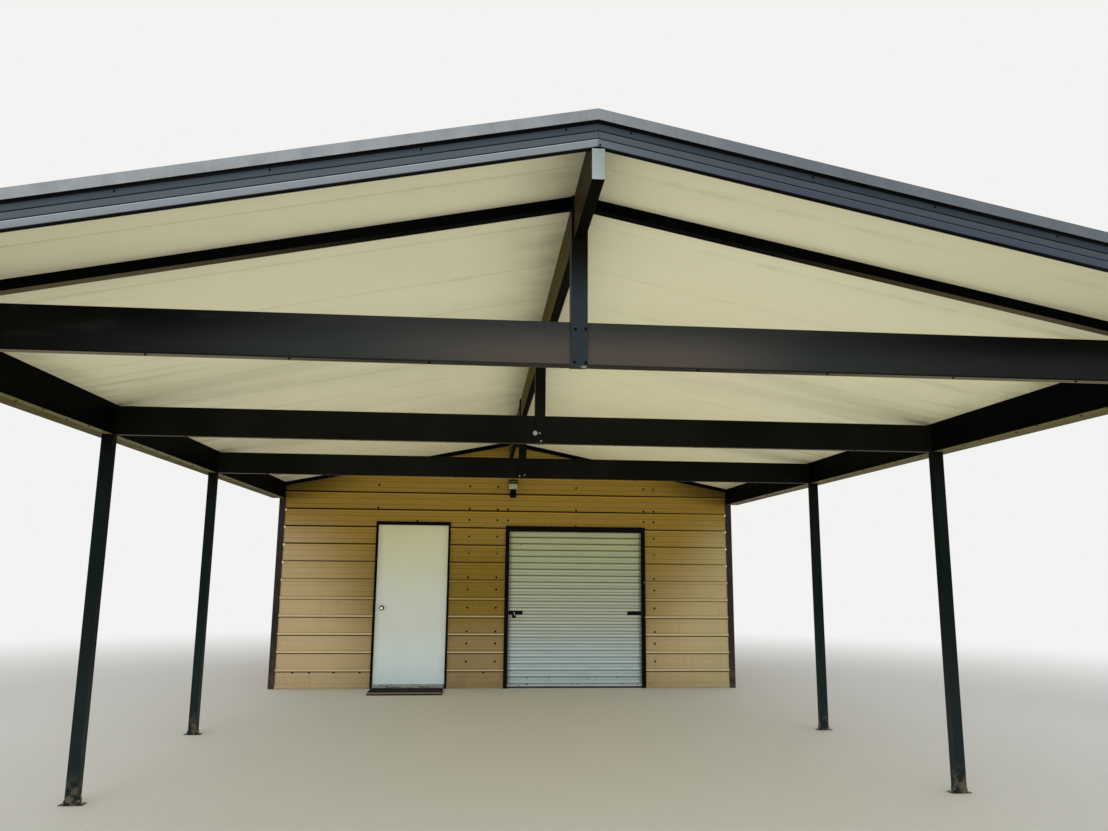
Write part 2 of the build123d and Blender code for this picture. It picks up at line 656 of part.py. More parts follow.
def make_hinge_plates():
    """Door side of the hinges: the middle knuckle and a plate on the back of the leaf."""
    hinges = []
    third = HINGE_HEIGHT / 3
    for z in hinge_bottoms():
        low = z + third + HINGE_CLEARANCE
        high = z + 2 * third - HINGE_CLEARANCE
        knuckle = barrel(HINGE_RADIUS, low, high)
        ear = block(HINGE_X - HINGE_PLATE_WIDTH, HINGE_X, Y_INSIDE,
                    Y_INSIDE + HINGE_PLATE_THICK, low, high)
        plate = block(HINGE_X - HINGE_PLATE_WIDTH, HINGE_X - HINGE_RADIUS - DOOR_GAP / 2,
                      Y_INSIDE, Y_INSIDE + HINGE_PLATE_THICK, z, z + HINGE_HEIGHT)
        hole = barrel(HINGE_PIN_RADIUS + HINGE_CLEARANCE, z, z + HINGE_HEIGHT)
        hinges.append(knuckle + ear + plate - hole)
    return Compound(hinges)


def make_step():
    """Low step on the floor in front of the walk-in door, with bevelled top edges."""
    middle = (DOOR_LEFT + DOOR_RIGHT) / 2
    back = Y_WALL - DOOR_FRAME_PROUD
    step = block(middle - STEP_WIDTH / 2, middle + STEP_WIDTH / 2, back - STEP_DEPTH, back, 0, STEP_HEIGHT)
    rim = step.faces().sort_by(Axis.Z)[-1].edges()
    return chamfer(rim.filter_by(lambda edge: edge.center().Y < back - 1), STEP_BEVEL)


def make_shutter_frame():
    """Guides and head of the roll-up door; the curtain's edges run in slots in the guides."""
    front = Y_WALL - DOOR_FRAME_PROUD
    frame = block(SHUTTER_FRAME_LEFT, SHUTTER_FRAME_RIGHT, front, Y_INSIDE, 0, SHUTTER_FRAME_TOP)
    view = block(SHUTTER_LEFT, SHUTTER_RIGHT, front, Y_INSIDE, 0, SHUTTER_HEIGHT)
    slot_reach = CURTAIN_IN_GUIDE + GUIDE_CLEARANCE
    slot_front = Y_WALL + SHUTTER_SET_BACK - GUIDE_CLEARANCE
    slot_back = slot_front + curtain_depth() + 2 * GUIDE_CLEARANCE
    slot = block(SHUTTER_LEFT - slot_reach, SHUTTER_RIGHT + slot_reach, slot_front, slot_back,
                 0, SHUTTER_FRAME_TOP)
    return frame - view - slot


def curtain_depth():
    """Front of a crown to the back of a valley."""
    return CROWN_RISE + VALLEY_DEPTH + CURTAIN_THICK


def make_curtain():
    """Corrugated curtain: crowns and valleys, one arc each, from bar to coil."""
    front = Y_WALL + SHUTTER_SET_BACK
    shoulder = front + CROWN_RISE
    count = int((SHUTTER_FRAME_TOP - BOTTOM_BAR_HEIGHT) / CORRUGATION_PITCH)
    edges = []
    z = BOTTOM_BAR_HEIGHT
    for _ in range(count):
        crown_end = z + CORRUGATION_CROWN
        valley_end = z + CORRUGATION_PITCH
        edges.append(ThreePointArc((0, shoulder, z), (0, front, (z + crown_end) / 2),
                                   (0, shoulder, crown_end)))
        edges.append(ThreePointArc((0, shoulder, crown_end),
                                   (0, shoulder + VALLEY_DEPTH, (crown_end + valley_end) / 2),
                                   (0, shoulder, valley_end)))
        z = valley_end
    edges.append(Line((0, shoulder, z), (0, shoulder, SHUTTER_FRAME_TOP)))
    front_line = Wire(edges)
    back_edges = [edge.moved(Location((0, CURTAIN_THICK, 0))) for edge in front_line.edges()]
    ends = [
        Line((0, shoulder, BOTTOM_BAR_HEIGHT), (0, shoulder + CURTAIN_THICK, BOTTOM_BAR_HEIGHT)),
        Line((0, shoulder, SHUTTER_FRAME_TOP), (0, shoulder + CURTAIN_THICK, SHUTTER_FRAME_TOP)),
    ]
    section = Face(Wire(list(front_line.edges()) + back_edges + ends))
    left = SHUTTER_LEFT - CURTAIN_IN_GUIDE
    right = SHUTTER_RIGHT + CURTAIN_IN_GUIDE
    return Solid.extrude(section.moved(Location((left, 0, 0))), Vector(right - left, 0, 0))


def make_bottom_bar():
    """Bar at the bottom of the curtain with a wider rubber foot that stands on the floor."""
    middle = Y_WALL + SHUTTER_SET_BACK + curtain_depth() / 2
    left = SHUTTER_LEFT + GUIDE_CLEARANCE
    right = SHUTTER_RIGHT - GUIDE_CLEARANCE
    half = BOTTOM_BAR_THICK / 2
    bar = block(left, right, middle - half, middle + half, BAR_FOOT_HEIGHT, BOTTOM_BAR_HEIGHT)
    half += BAR_FOOT_PROUD
    foot = block(left, right, middle - half, middle + half, 0, BAR_FOOT_HEIGHT)
    foot = fillet(foot.faces().sort_by(Axis.Z)[0].edges().filter_by(Axis.X), BAR_FOOT_ROUND)
    return foot + bar


def make_latch(side):
    """Slide latch across a valley of the curtain, its plate's edges against the crowns above and
    below: plate, two keepers and a round bolt."""
    crown_half = CORRUGATION_CROWN / 2
    crown_radius = (crown_half ** 2 + CROWN_RISE ** 2) / (2 * CROWN_RISE)
    off_crown = (CORRUGATION_PITCH - LATCH_TALL) / 2
    fall = crown_radius - (crown_radius ** 2 - off_crown ** 2) ** 0.5
    face = Y_WALL + SHUTTER_SET_BACK + fall - LATCH_GAP
    height = (BOTTOM_BAR_HEIGHT + LATCH_VALLEY * CORRUGATION_PITCH
              + (CORRUGATION_CROWN + CORRUGATION_PITCH) / 2)
    edge = SHUTTER_LEFT if side < 0 else SHUTTER_RIGHT
    outer = edge - side * LATCH_INSET
    inner = outer - side * LATCH_LENGTH
    half = LATCH_TALL / 2
    plate = block(inner, outer, face - LATCH_PLATE, face, height - half, height + half)
    bolt_y = face - LATCH_PLATE - LATCH_BAR_RADIUS + LATCH_BAR_SEAT
    bolt = Pos((inner + outer) / 2, bolt_y, height) * Cylinder(
        LATCH_BAR_RADIUS, LATCH_LENGTH, rotation=(0, 90, 0))
    keepers = []
    keeper_half = LATCH_BAR_RADIUS + KEEPER_WALL
    for share in KEEPER_PLACES:
        x = inner + (outer - inner) * share
        keepers.append(block(x - KEEPER_WIDTH / 2, x + KEEPER_WIDTH / 2, bolt_y - keeper_half, face,
                             height - keeper_half, height + keeper_half))
    return plate + bolt + keepers


def make_coil():
    """Coil of the raised part of the curtain on its axle, with a bracket at each end."""
    centre_y = Y_INSIDE + COIL_CLEARANCE + COIL_RADIUS
    centre_z = SHUTTER_FRAME_TOP + COIL_RADIUS
    left = SHUTTER_LEFT - CURTAIN_IN_GUIDE
    right = SHUTTER_RIGHT + CURTAIN_IN_GUIDE
    place = Pos((left + right) / 2, centre_y, centre_z)
    coil = place * Cylinder(COIL_RADIUS, right - left, rotation=(0, 90, 0))
    reach = COIL_CLEARANCE + COIL_BRACKET_THICK
    axle = place * Cylinder(COIL_AXLE_RADIUS, right - left + 2 * reach, rotation=(0, 90, 0))
    brackets = []
    for x in (left - reach, right + COIL_CLEARANCE):
        brackets.append(block(x, x + COIL_BRACKET_THICK, Y_INSIDE, centre_y + 2 * COIL_AXLE_RADIUS,
                              centre_z - 2 * COIL_AXLE_RADIUS, centre_z + 2 * COIL_AXLE_RADIUS))
    return coil + axle + brackets


def lamp_place(z):
    """Place on the lantern's upright axis, clear of the siding ribs."""
    return Pos(LAMP_X, RIB_FACE - LAMP_ARM_SIZE - LAMP_GLASS_RADIUS, z)


def make_lamp_body():
    """Lantern housing: bulging foot, tray, cap over the glass and the arm back to the wall."""
    tray_bottom = LAMP_BOTTOM + LAMP_FOOT_HEIGHT
    glass_bottom = tray_bottom + LAMP_TRAY_HEIGHT
    glass_top = glass_bottom + LAMP_GLASS_HEIGHT
    arm_bottom = LAMP_BOTTOM + LAMP_FOOT_HEIGHT / 2
    up = (Align.CENTER, Align.CENTER, Align.MIN)
    side = Spline((LAMP_FOOT_RADIUS, 0, 0), (LAMP_BULGE_RADIUS, 0, LAMP_BULGE_HEIGHT),
                  (LAMP_NECK_RADIUS, 0, LAMP_FOOT_HEIGHT))
    half_section = Wire([
        Line((0, 0, 0), (LAMP_FOOT_RADIUS, 0, 0)), side,
        Line((LAMP_NECK_RADIUS, 0, LAMP_FOOT_HEIGHT), (0, 0, LAMP_FOOT_HEIGHT)),
        Line((0, 0, LAMP_FOOT_HEIGHT), (0, 0, 0)),
    ])
    foot = lamp_place(LAMP_BOTTOM) * revolve(Face(half_section), Axis.Z)
    tray = lamp_place(tray_bottom) * Cone(
        LAMP_NECK_RADIUS, LAMP_GLASS_RADIUS, LAMP_TRAY_HEIGHT, align=up)
    cap = lamp_place(glass_top) * Cone(
        LAMP_CAP_RADIUS, LAMP_CAP_TOP_RADIUS, LAMP_CAP_HEIGHT, align=up)
    spine_y = RIB_FACE - LAMP_ARM_SIZE
    spine = block(LAMP_X - LAMP_ARM_SIZE / 2, LAMP_X + LAMP_ARM_SIZE / 2, spine_y, RIB_FACE,
                  arm_bottom, glass_top + LAMP_ARM_SIZE)
    arms = []
    for low in (arm_bottom, glass_top):
        arms.append(block(LAMP_X - LAMP_ARM_SIZE / 2, LAMP_X + LAMP_ARM_SIZE / 2,
                          spine_y - LAMP_GLASS_RADIUS, spine_y, low, low + LAMP_ARM_SIZE))
    return foot + tray + cap + spine + arms


def make_lamp_glass():
    """Clear jar between the lantern's tray and cap."""
    up = (Align.CENTER, Align.CENTER, Align.MIN)
    z = LAMP_BOTTOM + LAMP_FOOT_HEIGHT + LAMP_TRAY_HEIGHT
    jar = Cylinder(LAMP_GLASS_RADIUS - GUIDE_CLEARANCE, LAMP_GLASS_HEIGHT, align=up)
    hollow = Cylinder(LAMP_GLASS_RADIUS - LAMP_GLASS_WALL, LAMP_GLASS_HEIGHT, align=up)
    return lamp_place(z) * (jar - hollow)


def all_parts():
    """Every node of the building by name."""
    parts = {}
    for side_name, side in SIDES.items():
        for place, y in TIE_BEAM_Y.items():
            parts[f"post_{side_name}_{place}"] = make_post(side, y)
        parts[f"eave_beam_{side_name}"] = make_eave_beam(side)
        parts[f"front_rafter_{side_name}"] = make_front_rafter(side)
        parts[f"wall_rafter_{side_name}"] = make_wall_rafter(side)
        parts[f"roof_panels_{side_name}"] = make_roof_panels(side)
        parts[f"rake_fascia_{side_name}"] = make_rake_fascia(side)
        parts[f"roof_edge_trim_{side_name}"] = make_edge_trim(side)
        parts[f"gutter_{side_name}"] = make_gutter(side)
        parts[f"shed_side_wall_{side_name}"] = make_side_wall(side)
        parts[f"corner_trim_front_{side_name}"] = make_corner_trim(side, -1)
        parts[f"corner_trim_back_{side_name}"] = make_corner_trim(side, 1)
        parts[f"shed_roof_{side_name}"] = make_shed_roof(side)
        parts[f"shed_rake_trim_{side_name}"] = make_shed_rake_trim(side)
        parts[f"shed_eave_trim_{side_name}"] = make_shed_eave_trim(side)
    for place, y in TIE_BEAM_Y.items():
        parts[f"tie_beam_{place}"] = make_tie_beam(y)
        parts[f"king_post_{place}"] = make_king_post(y)
    parts["ridge_beam"] = make_ridge_beam()
    parts["ridge_cap"] = make_ridge_cap()

    wall_pieces = {
        "left": (-SHED_HALF_WIDTH, FRAME_LEFT, 0),
        "over_door": (FRAME_LEFT, FRAME_RIGHT, FRAME_TOP),
        "middle": (FRAME_RIGHT, SHUTTER_FRAME_LEFT, 0),
        "over_shutter": (SHUTTER_FRAME_LEFT, SHUTTER_FRAME_RIGHT, SHUTTER_FRAME_TOP),
        "right": (SHUTTER_FRAME_RIGHT, SHED_HALF_WIDTH, 0),
    }
    for name, (x0, x1, z0) in wall_pieces.items():
        parts[f"front_wall_{name}"] = make_gable_wall_piece(x0, x1, z0, Y_WALL, -1)
    parts["shed_back_wall"] = make_gable_wall_piece(-SHED_HALF_WIDTH, SHED_HALF_WIDTH, 0, Y_BACK, 1)

    parts["door_frame"] = make_door_frame()
    parts["door_leaf"] = make_door_leaf()
    parts["door_knob"] = make_knob()
    parts["door_hinge_pins"] = make_hinge_pins()
    parts["door_hinge_plates"] = make_hinge_plates()
    parts["door_step"] = make_step()
    parts["shutter_frame"] = make_shutter_frame()
    parts["shutter_curtain"] = make_curtain()
    parts["shutter_bottom_bar"] = make_bottom_bar()
    parts["shutter_latches"] = Compound([make_latch(side) for side in SIDES.values()])
    parts["shutter_coil"] = make_coil()
    parts["wall_lamp_body"] = make_lamp_body()
    parts["wall_lamp_glass"] = make_lamp_glass()
    return parts


os.makedirs("parts", exist_ok=True)
for name, shape in all_parts().items():
    export_step(shape, f"parts/{name}.step")
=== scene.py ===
import math

import bmesh
import bpy
from mathutils import Matrix, Vector


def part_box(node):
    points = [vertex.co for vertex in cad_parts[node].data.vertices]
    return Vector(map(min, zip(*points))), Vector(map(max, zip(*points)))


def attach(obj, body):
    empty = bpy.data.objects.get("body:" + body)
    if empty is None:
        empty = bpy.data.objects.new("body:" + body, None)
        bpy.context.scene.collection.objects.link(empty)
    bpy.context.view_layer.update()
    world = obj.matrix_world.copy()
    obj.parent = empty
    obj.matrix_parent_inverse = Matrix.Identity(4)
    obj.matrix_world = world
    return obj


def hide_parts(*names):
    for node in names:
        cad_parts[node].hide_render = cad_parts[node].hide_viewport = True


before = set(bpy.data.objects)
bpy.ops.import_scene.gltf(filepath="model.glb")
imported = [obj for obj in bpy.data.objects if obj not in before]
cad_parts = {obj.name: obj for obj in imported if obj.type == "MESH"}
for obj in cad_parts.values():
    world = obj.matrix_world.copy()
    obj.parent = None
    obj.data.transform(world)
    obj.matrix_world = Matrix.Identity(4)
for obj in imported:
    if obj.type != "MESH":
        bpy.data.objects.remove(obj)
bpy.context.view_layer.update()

# Posts. Six square tubes of extruded aluminium, 76 mm, with dark bronze baked enamel. Each stands on
# the floor between two angle clips, and every clip has an anchor bolt down and two screws into the tube.
PLACES = ("front", "middle", "rear")
POST_NODES = [f"post_{side}_{place}" for side in ("left", "right") for place in PLACES]
CLIP_LEG = 0.038
CLIP_THICK = 0.004


def colour(text):
    """An sRGB hex colour as the linear values that a shader takes."""
    parts = [int(text[i:i + 2], 16) / 255 for i in (1, 3, 5)]
    linear = [p / 12.92 if p <= 0.04045 else ((p + 0.055) / 1.055) ** 2.4 for p in parts]
    return (*linear, 1.0)


def add_node(tree, kind, settings=None, links=None):
    """Adds a node, fills in its settings and sockets, and joins what feeds it."""
    node = tree.nodes.new("ShaderNode" + kind)
    for key, value in (settings or {}).items():
        if isinstance(key, str) and hasattr(node, key):
            setattr(node, key, value)
        else:
            node.inputs[key].default_value = value
    for key, source in (links or {}).items():
        tree.links.new(source, node.inputs[key])
    return node


def blotches(tree, size, low, high, stretch=(1, 1, 1), shift=0.0, detail=4.0):
    """Soft patches about this many millimetres across; low and high set how far they spread."""
    place = add_node(tree, "TexCoord")
    spread = add_node(tree, "Mapping", {"Scale": stretch, "Location": (shift,) * 3},
                      {"Vector": place.outputs["Object"]})
    noise = add_node(tree, "TexNoise", {"Scale": 1000 / size, "Detail": detail, "Roughness": 0.6},
                     {"Vector": spread.outputs[0]})
    return add_node(tree, "MapRange",
                    {"interpolation_type": "SMOOTHSTEP", "From Min": low, "From Max": high},
                    {"Value": noise.outputs[0]}).outputs[0]


def how_far(tree, axis):
    """How far a point lies along one axis of the building."""
    place = add_node(tree, "TexCoord")
    split = add_node(tree, "SeparateXYZ", None, {0: place.outputs["Object"]})
    return split.outputs["XYZ".index(axis)]


def reach(tree, axis, start, end, far=False):
    """Rises from 0 to 1 between two places on an axis; far measures out from the middle."""
    source = how_far(tree, axis)
    if far:
        source = add_node(tree, "Math", {"operation": "ABSOLUTE"}, {0: source}).outputs[0]
    return add_node(tree, "MapRange",
                    {"interpolation_type": "SMOOTHSTEP", "From Min": start, "From Max": end},
                    {"Value": source}).outputs[0]


def times(tree, mask, *others):
    """One mask cut back by others, each of them a mask too or a plain number."""
    for other in others:
        node = add_node(tree, "Math", {"operation": "MULTIPLY"}, {0: mask})
        if isinstance(other, float):
            node.inputs[1].default_value = other
        else:
            tree.links.new(other, node.inputs[1])
        mask = node.outputs[0]
    return mask


def start_finish(name, base, roughness, metallic=0.0, specular=0.5):
    """A new material with one plain colour on its shader, ready for its layers."""
    material = bpy.data.materials.new(name)
    material.use_nodes = True
    tree = material.node_tree
    tree.nodes.clear()
    shader = add_node(tree, "BsdfPrincipled",
                      {"Metallic": metallic, "Roughness": roughness, "Specular IOR Level": specular})
    add_node(tree, "OutputMaterial", None, {"Surface": shader.outputs[0]})
    tone = add_node(tree, "RGB")
    tone.outputs[0].default_value = colour(base)
    tree.links.new(tone.outputs[0], shader.inputs["Base Color"])
    return material, tree, shader


def lay_over(shader, text, *masks):
    """Lays one more colour over the finish so far, where all the masks are bright."""
    tree = shader.id_data
    below = shader.inputs["Base Color"].links[0].from_socket
    mix = add_node(tree, "Mix", {"data_type": "RGBA", 7: colour(text)},
                   {0: times(tree, *masks), 6: below})
    tree.links.new(mix.outputs[2], shader.inputs["Base Color"])


def uneven_gloss(shader, size, smooth, rough, stretch=(1, 1, 1), shift=0.0):
    """Lets the gloss run from smooth to rough in patches of a size in millimetres."""
    tree = shader.id_data
    gloss = add_node(tree, "MapRange", {"To Min": smooth, "To Max": rough},
                     {"Value": blotches(tree, size, 0.3, 0.7, stretch, shift)})
    tree.links.new(gloss.outputs[0], shader.inputs["Roughness"])


def relief(shader, height, size, stretch=(1, 1, 1), shift=0.0, detail=4.0, low=0.2, high=0.8):
    """Raises the surface in patches, over the relief it already has; sizes are in millimetres."""
    tree = shader.id_data
    bump = add_node(tree, "Bump", {"Strength": 1.0, "Distance": height / 1000},
                    {"Height": blotches(tree, size, low, high, stretch, shift, detail)})
    if shader.inputs["Normal"].links:
        tree.links.new(shader.inputs["Normal"].links[0].from_socket, bump.inputs["Normal"])
    tree.links.new(bump.outputs[0], shader.inputs["Normal"])


def turned(tree, axis="Z", low=0.3, high=0.95):
    """Bright where the surface turns towards an axis: as it stands, where it faces up and holds dust."""
    surface = add_node(tree, "NewGeometry")
    split = add_node(tree, "SeparateXYZ", None, {0: surface.outputs["Normal"]})
    return add_node(tree, "MapRange",
                    {"interpolation_type": "SMOOTHSTEP", "From Min": low, "From Max": high},
                    {"Value": split.outputs["XYZ".index(axis)]}).outputs[0]


def bronze_enamel(name, run, base="#0d0c06", cloud="#15140d", under="#3c3524", specular=0.03):
    """Baked enamel on extruded aluminium: nearly black, satin, with faint die lines; the underside
    is painted lighter and browner, as light from the ground."""
    material, tree, shader = start_finish(name, base, 0.42, specular=specular)
    lay_over(shader, cloud, blotches(tree, 900, 0.40, 0.66))
    lay_over(shader, under, turned(tree, "Z", -0.5, -0.9), 0.8)
    lay_over(shader, "#1a1713", blotches(tree, 60, 0.55, 0.75, run), 0.15)
    lay_over(shader, "#5a5145", turned(tree), 0.6)
    uneven_gloss(shader, 250, 0.34, 0.52, run, 3.0)
    relief(shader, 0.9, 420, run, 5.0, 1.0)
    # Real enamel has an orange peel a millimetre or two wide; it is drawn 14 mm wide so that it shows.
    relief(shader, 0.05, 14, run, 1.0)
    return material, tree, shader


def dress(names, material):
    """Gives CAD nodes their finish through their own material slots."""
    for name in names:
        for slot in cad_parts[name].material_slots:
            slot.material = material


def pick_faces(piece, wanted):
    """In edit mode, selects just the faces whose centre and normal are wanted."""
    bpy.ops.mesh.select_mode(type="FACE")
    bpy.ops.mesh.select_all(action="DESELECT")
    mesh = bmesh.from_edit_mesh(piece.data)
    for face in mesh.faces:
        face.select_set(wanted(face.calc_center_median(), face.normal))
    bmesh.update_edit_mesh(piece.data)


def block(name, low, high):
    """A cube added at its place and size; what shapes it comes after."""
    bpy.ops.object.select_all(action="DESELECT")
    middle = [(a + b) / 2 for a, b in zip(low, high)]
    size = [abs(b - a) for a, b in zip(low, high)]
    bpy.ops.mesh.primitive_cube_add(size=1, location=middle, scale=size)
    piece = bpy.context.object
    piece.name = name
    bpy.ops.object.transform_apply(location=True, rotation=True, scale=True)
    return piece


def rounded(piece, degrees=32):
    """Shades the soft bends of a piece smooth and keeps its folds crisp."""
    bpy.ops.object.select_all(action="DESELECT")
    piece.select_set(True)
    bpy.context.view_layer.objects.active = piece
    bpy.ops.object.shade_smooth_by_angle(angle=math.radians(degrees))
    return piece


def soften(piece, width):
    """Rounds the sharp edges of a piece and shades it smooth between them."""
    rounding = piece.modifiers.new("round", "BEVEL")
    rounding.width = width
    rounding.segments = 2
    rounding.limit_method = "ANGLE"
    bpy.context.view_layer.objects.active = piece
    bpy.ops.object.modifier_apply(modifier="round")
    return rounded(piece, 40)


def join(name, parts):
    """Joins several meshes into one piece with its place in its mesh."""
    bpy.ops.object.select_all(action="DESELECT")
    for part in parts:
        part.select_set(True)
    bpy.context.view_layer.objects.active = parts[0]
    if len(parts) > 1:
        bpy.ops.object.join()
    piece = bpy.context.object
    piece.name = name
    bpy.ops.object.transform_apply(location=True, rotation=True, scale=True)
    return piece


def repeat(name, pattern, places):
    """One joined piece of copies of a pattern, each with its own mesh, at the given matrices."""
    twins = []
    for place in places:
        twin = pattern.copy()
        twin.data = pattern.data.copy()
        bpy.context.collection.objects.link(twin)
        twin.matrix_world = place
        twins.append(twin)
    return join(name, twins)


def facing(place, direction, turn=0.0):
    """A matrix that stands a +Z pattern on a surface that looks in a direction."""
    tilt = Vector((0, 0, 1)).rotation_difference(Vector(direction)).to_matrix().to_4x4()
    return Matrix.Translation(place) @ tilt @ Matrix.Rotation(turn, 4, "Z")


def finish(piece, material, slot, *replaced, body="building"):
    """Gives a finished piece its material and the body it moves with, and hides the parts it replaces; its
    slot is not used.
    """
    piece.data.materials.clear()
    piece.data.materials.append(material)
    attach(piece, body)
    if replaced:
        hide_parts(*replaced)
    return piece


def inset(piece, wanted, rim, depth):
    """Insets just the wanted faces by a rim, and raises or sinks them."""
    bpy.ops.object.mode_set(mode="EDIT")
    pick_faces(piece, wanted)
    bpy.ops.mesh.inset(thickness=rim, depth=depth)
    bpy.ops.object.mode_set(mode="OBJECT")


def drum(sides, radius, depth, middle):
    """An upright cylinder about its middle; what shapes it comes after."""
    bpy.ops.object.select_all(action="DESELECT")
    bpy.ops.mesh.primitive_cylinder_add(vertices=sides, radius=radius, depth=depth, location=middle)
    return bpy.context.object


def hex_head(name, width, height, flange):
    """A hex washer head: six sides with a bevelled crown on a thin round flange."""
    head = drum(6, width / 2, height, (0, 0, height / 2))
    inset(head, lambda centre, normal: normal.z > 0.9, width * 0.08, height * 0.12)
    ring = drum(12, flange / 2, height * 0.3, (0, 0, height * 0.1))
    inset(ring, lambda centre, normal: normal.z > 0.9, flange * 0.06, height * 0.08)
    return join(name, [head, ring])


post_paint, tree, shader = bronze_enamel("bronze enamel on post tube, extruded", (1, 1, 0.06),
                                         "#0b1513", "#0f1a19")
# Painted light makes each post lighter and bluer towards the floor, and painted shade darkens its top under
# the beams.
lay_over(shader, "#242e2e", reach(tree, "Z", 1.6, 0.2), 0.7)
lay_over(shader, "#060806", reach(tree, "Z", 2.0, 2.42), 0.8)
# Rain splashes soil up the lowest hand's breadth of each post and on to its clips.
splash = times(tree, reach(tree, "Z", 0.24, 0.0), blotches(tree, 45, 0.42, 0.62))
lay_over(shader, "#6d6354", splash, 0.75)
dress(POST_NODES, post_paint)

# Zinc plate is a dull silver, with darker spots where it has weathered.
zinc, tree, shader = start_finish("zinc plated steel, cold formed", "#8f918d", 0.4, 1.0)
lay_over(shader, "#6d6c66", blotches(tree, 12, 0.45, 0.7))
bolt = hex_head("bolt_pattern", 0.013, 0.008, 0.021)
bolt_places = []
for name in POST_NODES:
    low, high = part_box(name)
    middle = (low + high) / 2
    for outward, face in ((-1, low.x + CLIP_LEG / 2), (1, high.x - CLIP_LEG / 2)):
        bolt_places.append(facing((face, middle.y, CLIP_THICK), (0, 0, 1), 0.4))
        side_face = face - outward * (CLIP_LEG / 2 - CLIP_THICK)
        for along in (-0.018, 0.018):
            bolt_places.append(facing((side_face, middle.y + along, 0.024), (outward, 0, 0)))
finish(repeat("post_clip_bolts", bolt, bolt_places), zinc, "hardware_steel")

# Beams. Self-mating aluminium beams, two channels snapped together along a seam and stitched with
# hex screws every 610 mm; the ridge beam, three tie beams and two eave beams are the same 203 mm size.
SCREW_SPACING = 0.61
SCREW_FROM_EDGE = 0.012
TIE_BEAMS = [f"tie_beam_{place}" for place in PLACES]
RAFTERS = [f"{kind}_rafter_{side}" for kind in ("front", "wall") for side in ("left", "right")]
# Baked enamel makes all the beams nearly black. Their undersides carry painted light from the ground: olive
# on the eave beams, and on the rafters, the darkest beams, only near the eaves.
across_paint = bronze_enamel("bronze enamel on cross beam, extruded", (0.05, 1, 1))[0]
eave_paint, tree, shader = bronze_enamel("bronze enamel on eave beam, extruded", (1, 0.05, 1), "#050604",
                                         "#0a0a07", "#77743a", specular=0.005)
upright_paint = bronze_enamel("bronze enamel on king post, extruded", (1, 1, 0.06))[0]
dress(TIE_BEAMS[1:], across_paint)
dress(["eave_beam_left", "eave_beam_right"], eave_paint)
dress(["king_post_middle", "king_post_rear"], upright_paint)
rafter_paint, tree, shader = bronze_enamel("bronze enamel on rafter, extruded", (0.05, 1, 1), "#050404",
                                           "#080706", "#0a0908", specular=0.005)
lay_over(shader, "#5e563c", turned(tree, "Z", -0.5, -0.9), reach(tree, "X", 0.8, 2.4, True))
dress(RAFTERS, rafter_paint)

# The front of the frame carries painted light from the ground and sky: over the middle of the front tie
# beam, lightening towards its foot above a dark line along its lower edge, and olive on its underside; on
# the front king post; and along the open side of the ridge beam.
front_lit_paint, tree, shader = bronze_enamel("bronze enamel on front tie beam, painted light", (0.05, 1, 1),
                                            "#060604", "#0a0a07")
lay_over(shader, "#3b413e", reach(tree, "X", -1.9, -0.7), reach(tree, "X", 2.1, 0.3), 0.5)
lay_over(shader, "#3b4240", reach(tree, "X", -2.6, -1.3), reach(tree, "Z", 2.62, 2.48), 0.25)
lay_over(shader, "#4a433e", reach(tree, "X", -1.1, -0.2), reach(tree, "X", 1.15, 0.45),
         reach(tree, "Z", 2.66, 2.48))
lay_over(shader, "#6a6660", blotches(tree, 90, 0.55, 0.75, (0.3, 1, 1), 3.0), 0.04)
lay_over(shader, "#0b0c0c", reach(tree, "Z", 2.450, 2.443), 0.75)
facing_down = turned(tree, "Z", -0.5, -0.9)
lay_over(shader, "#261f0d", facing_down, 0.97)
lay_over(shader, "#716847", facing_down, reach(tree, "X", 0.8, 1.6, True), 0.85)
dress(TIE_BEAMS[:1], front_lit_paint)
bluish_paint, tree, shader = bronze_enamel("bronze enamel on front king post, painted light", (1, 1, 0.06))
lay_over(shader, "#2a3337", reach(tree, "Z", 3.0, 2.7), 0.9)
dress(["king_post_front"], bluish_paint)
ridge_paint, tree, shader = bronze_enamel("bronze enamel on ridge beam, extruded", (1, 0.05, 1),
                                          under="#0c0b07", specular=0.005)
open_side = turned(tree, "X", -0.5, -0.9)
lay_over(shader, "#352e1c", open_side, 0.95)
lay_over(shader, "#4f4727", open_side, reach(tree, "Y", -5.9, -4.9), 0.95)
dress(["ridge_beam"], ridge_paint)

stitch = hex_head("stitch_pattern", 0.009, 0.006, 0.014)
# Dipped in the same bronze, the screw heads look like small matt black dots.
screw_paint, tree, shader = start_finish("bronze enamel on screw heads, dipped", "#050607", 0.5,
                                         specular=0.02)
lay_over(shader, "#0f1011", blotches(tree, 15, 0.45, 0.65))
stitch_places = []
for name in TIE_BEAMS:
    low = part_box(name)[0]
    for i in (0, 1, 2, 3, 5, 6, 7, 8):
        place = (-2.5 + i * SCREW_SPACING, low.y + SCREW_FROM_EDGE, low.z)
        stitch_places.append(facing(place, (0, 0, -1)))
for name in ("eave_beam_left", "eave_beam_right", "ridge_beam"):
    low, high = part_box(name)
    for i in range(int((high.y - low.y) / SCREW_SPACING) + 1):
        for x, first in ((low.x + SCREW_FROM_EDGE, 0.589), (high.x - SCREW_FROM_EDGE, 0.23)):
            y = low.y + first + i * SCREW_SPACING
            if y < high.y:
                stitch_places.append(facing((x, y, low.z), (0, 0, -1)))
for place in PLACES:
    low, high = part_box(f"king_post_{place}")
    for x in (-0.024, 0.024):
        for z in (low.z + 0.016, low.z + 0.165):
            stitch_places.append(facing((x, high.y, z), (0, 1, 0)))
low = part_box("king_post_front")[0]
for x, z in ((-0.0185, 2.606), (0.0288, 2.608), (-0.0215, 2.452), (0.0292, 2.451)):
    stitch_places.append(facing((x, low.y, z), (0, -1, 0)))
finish(repeat("beam_stitch_screws", stitch, stitch_places), screw_paint, "frame_paint")

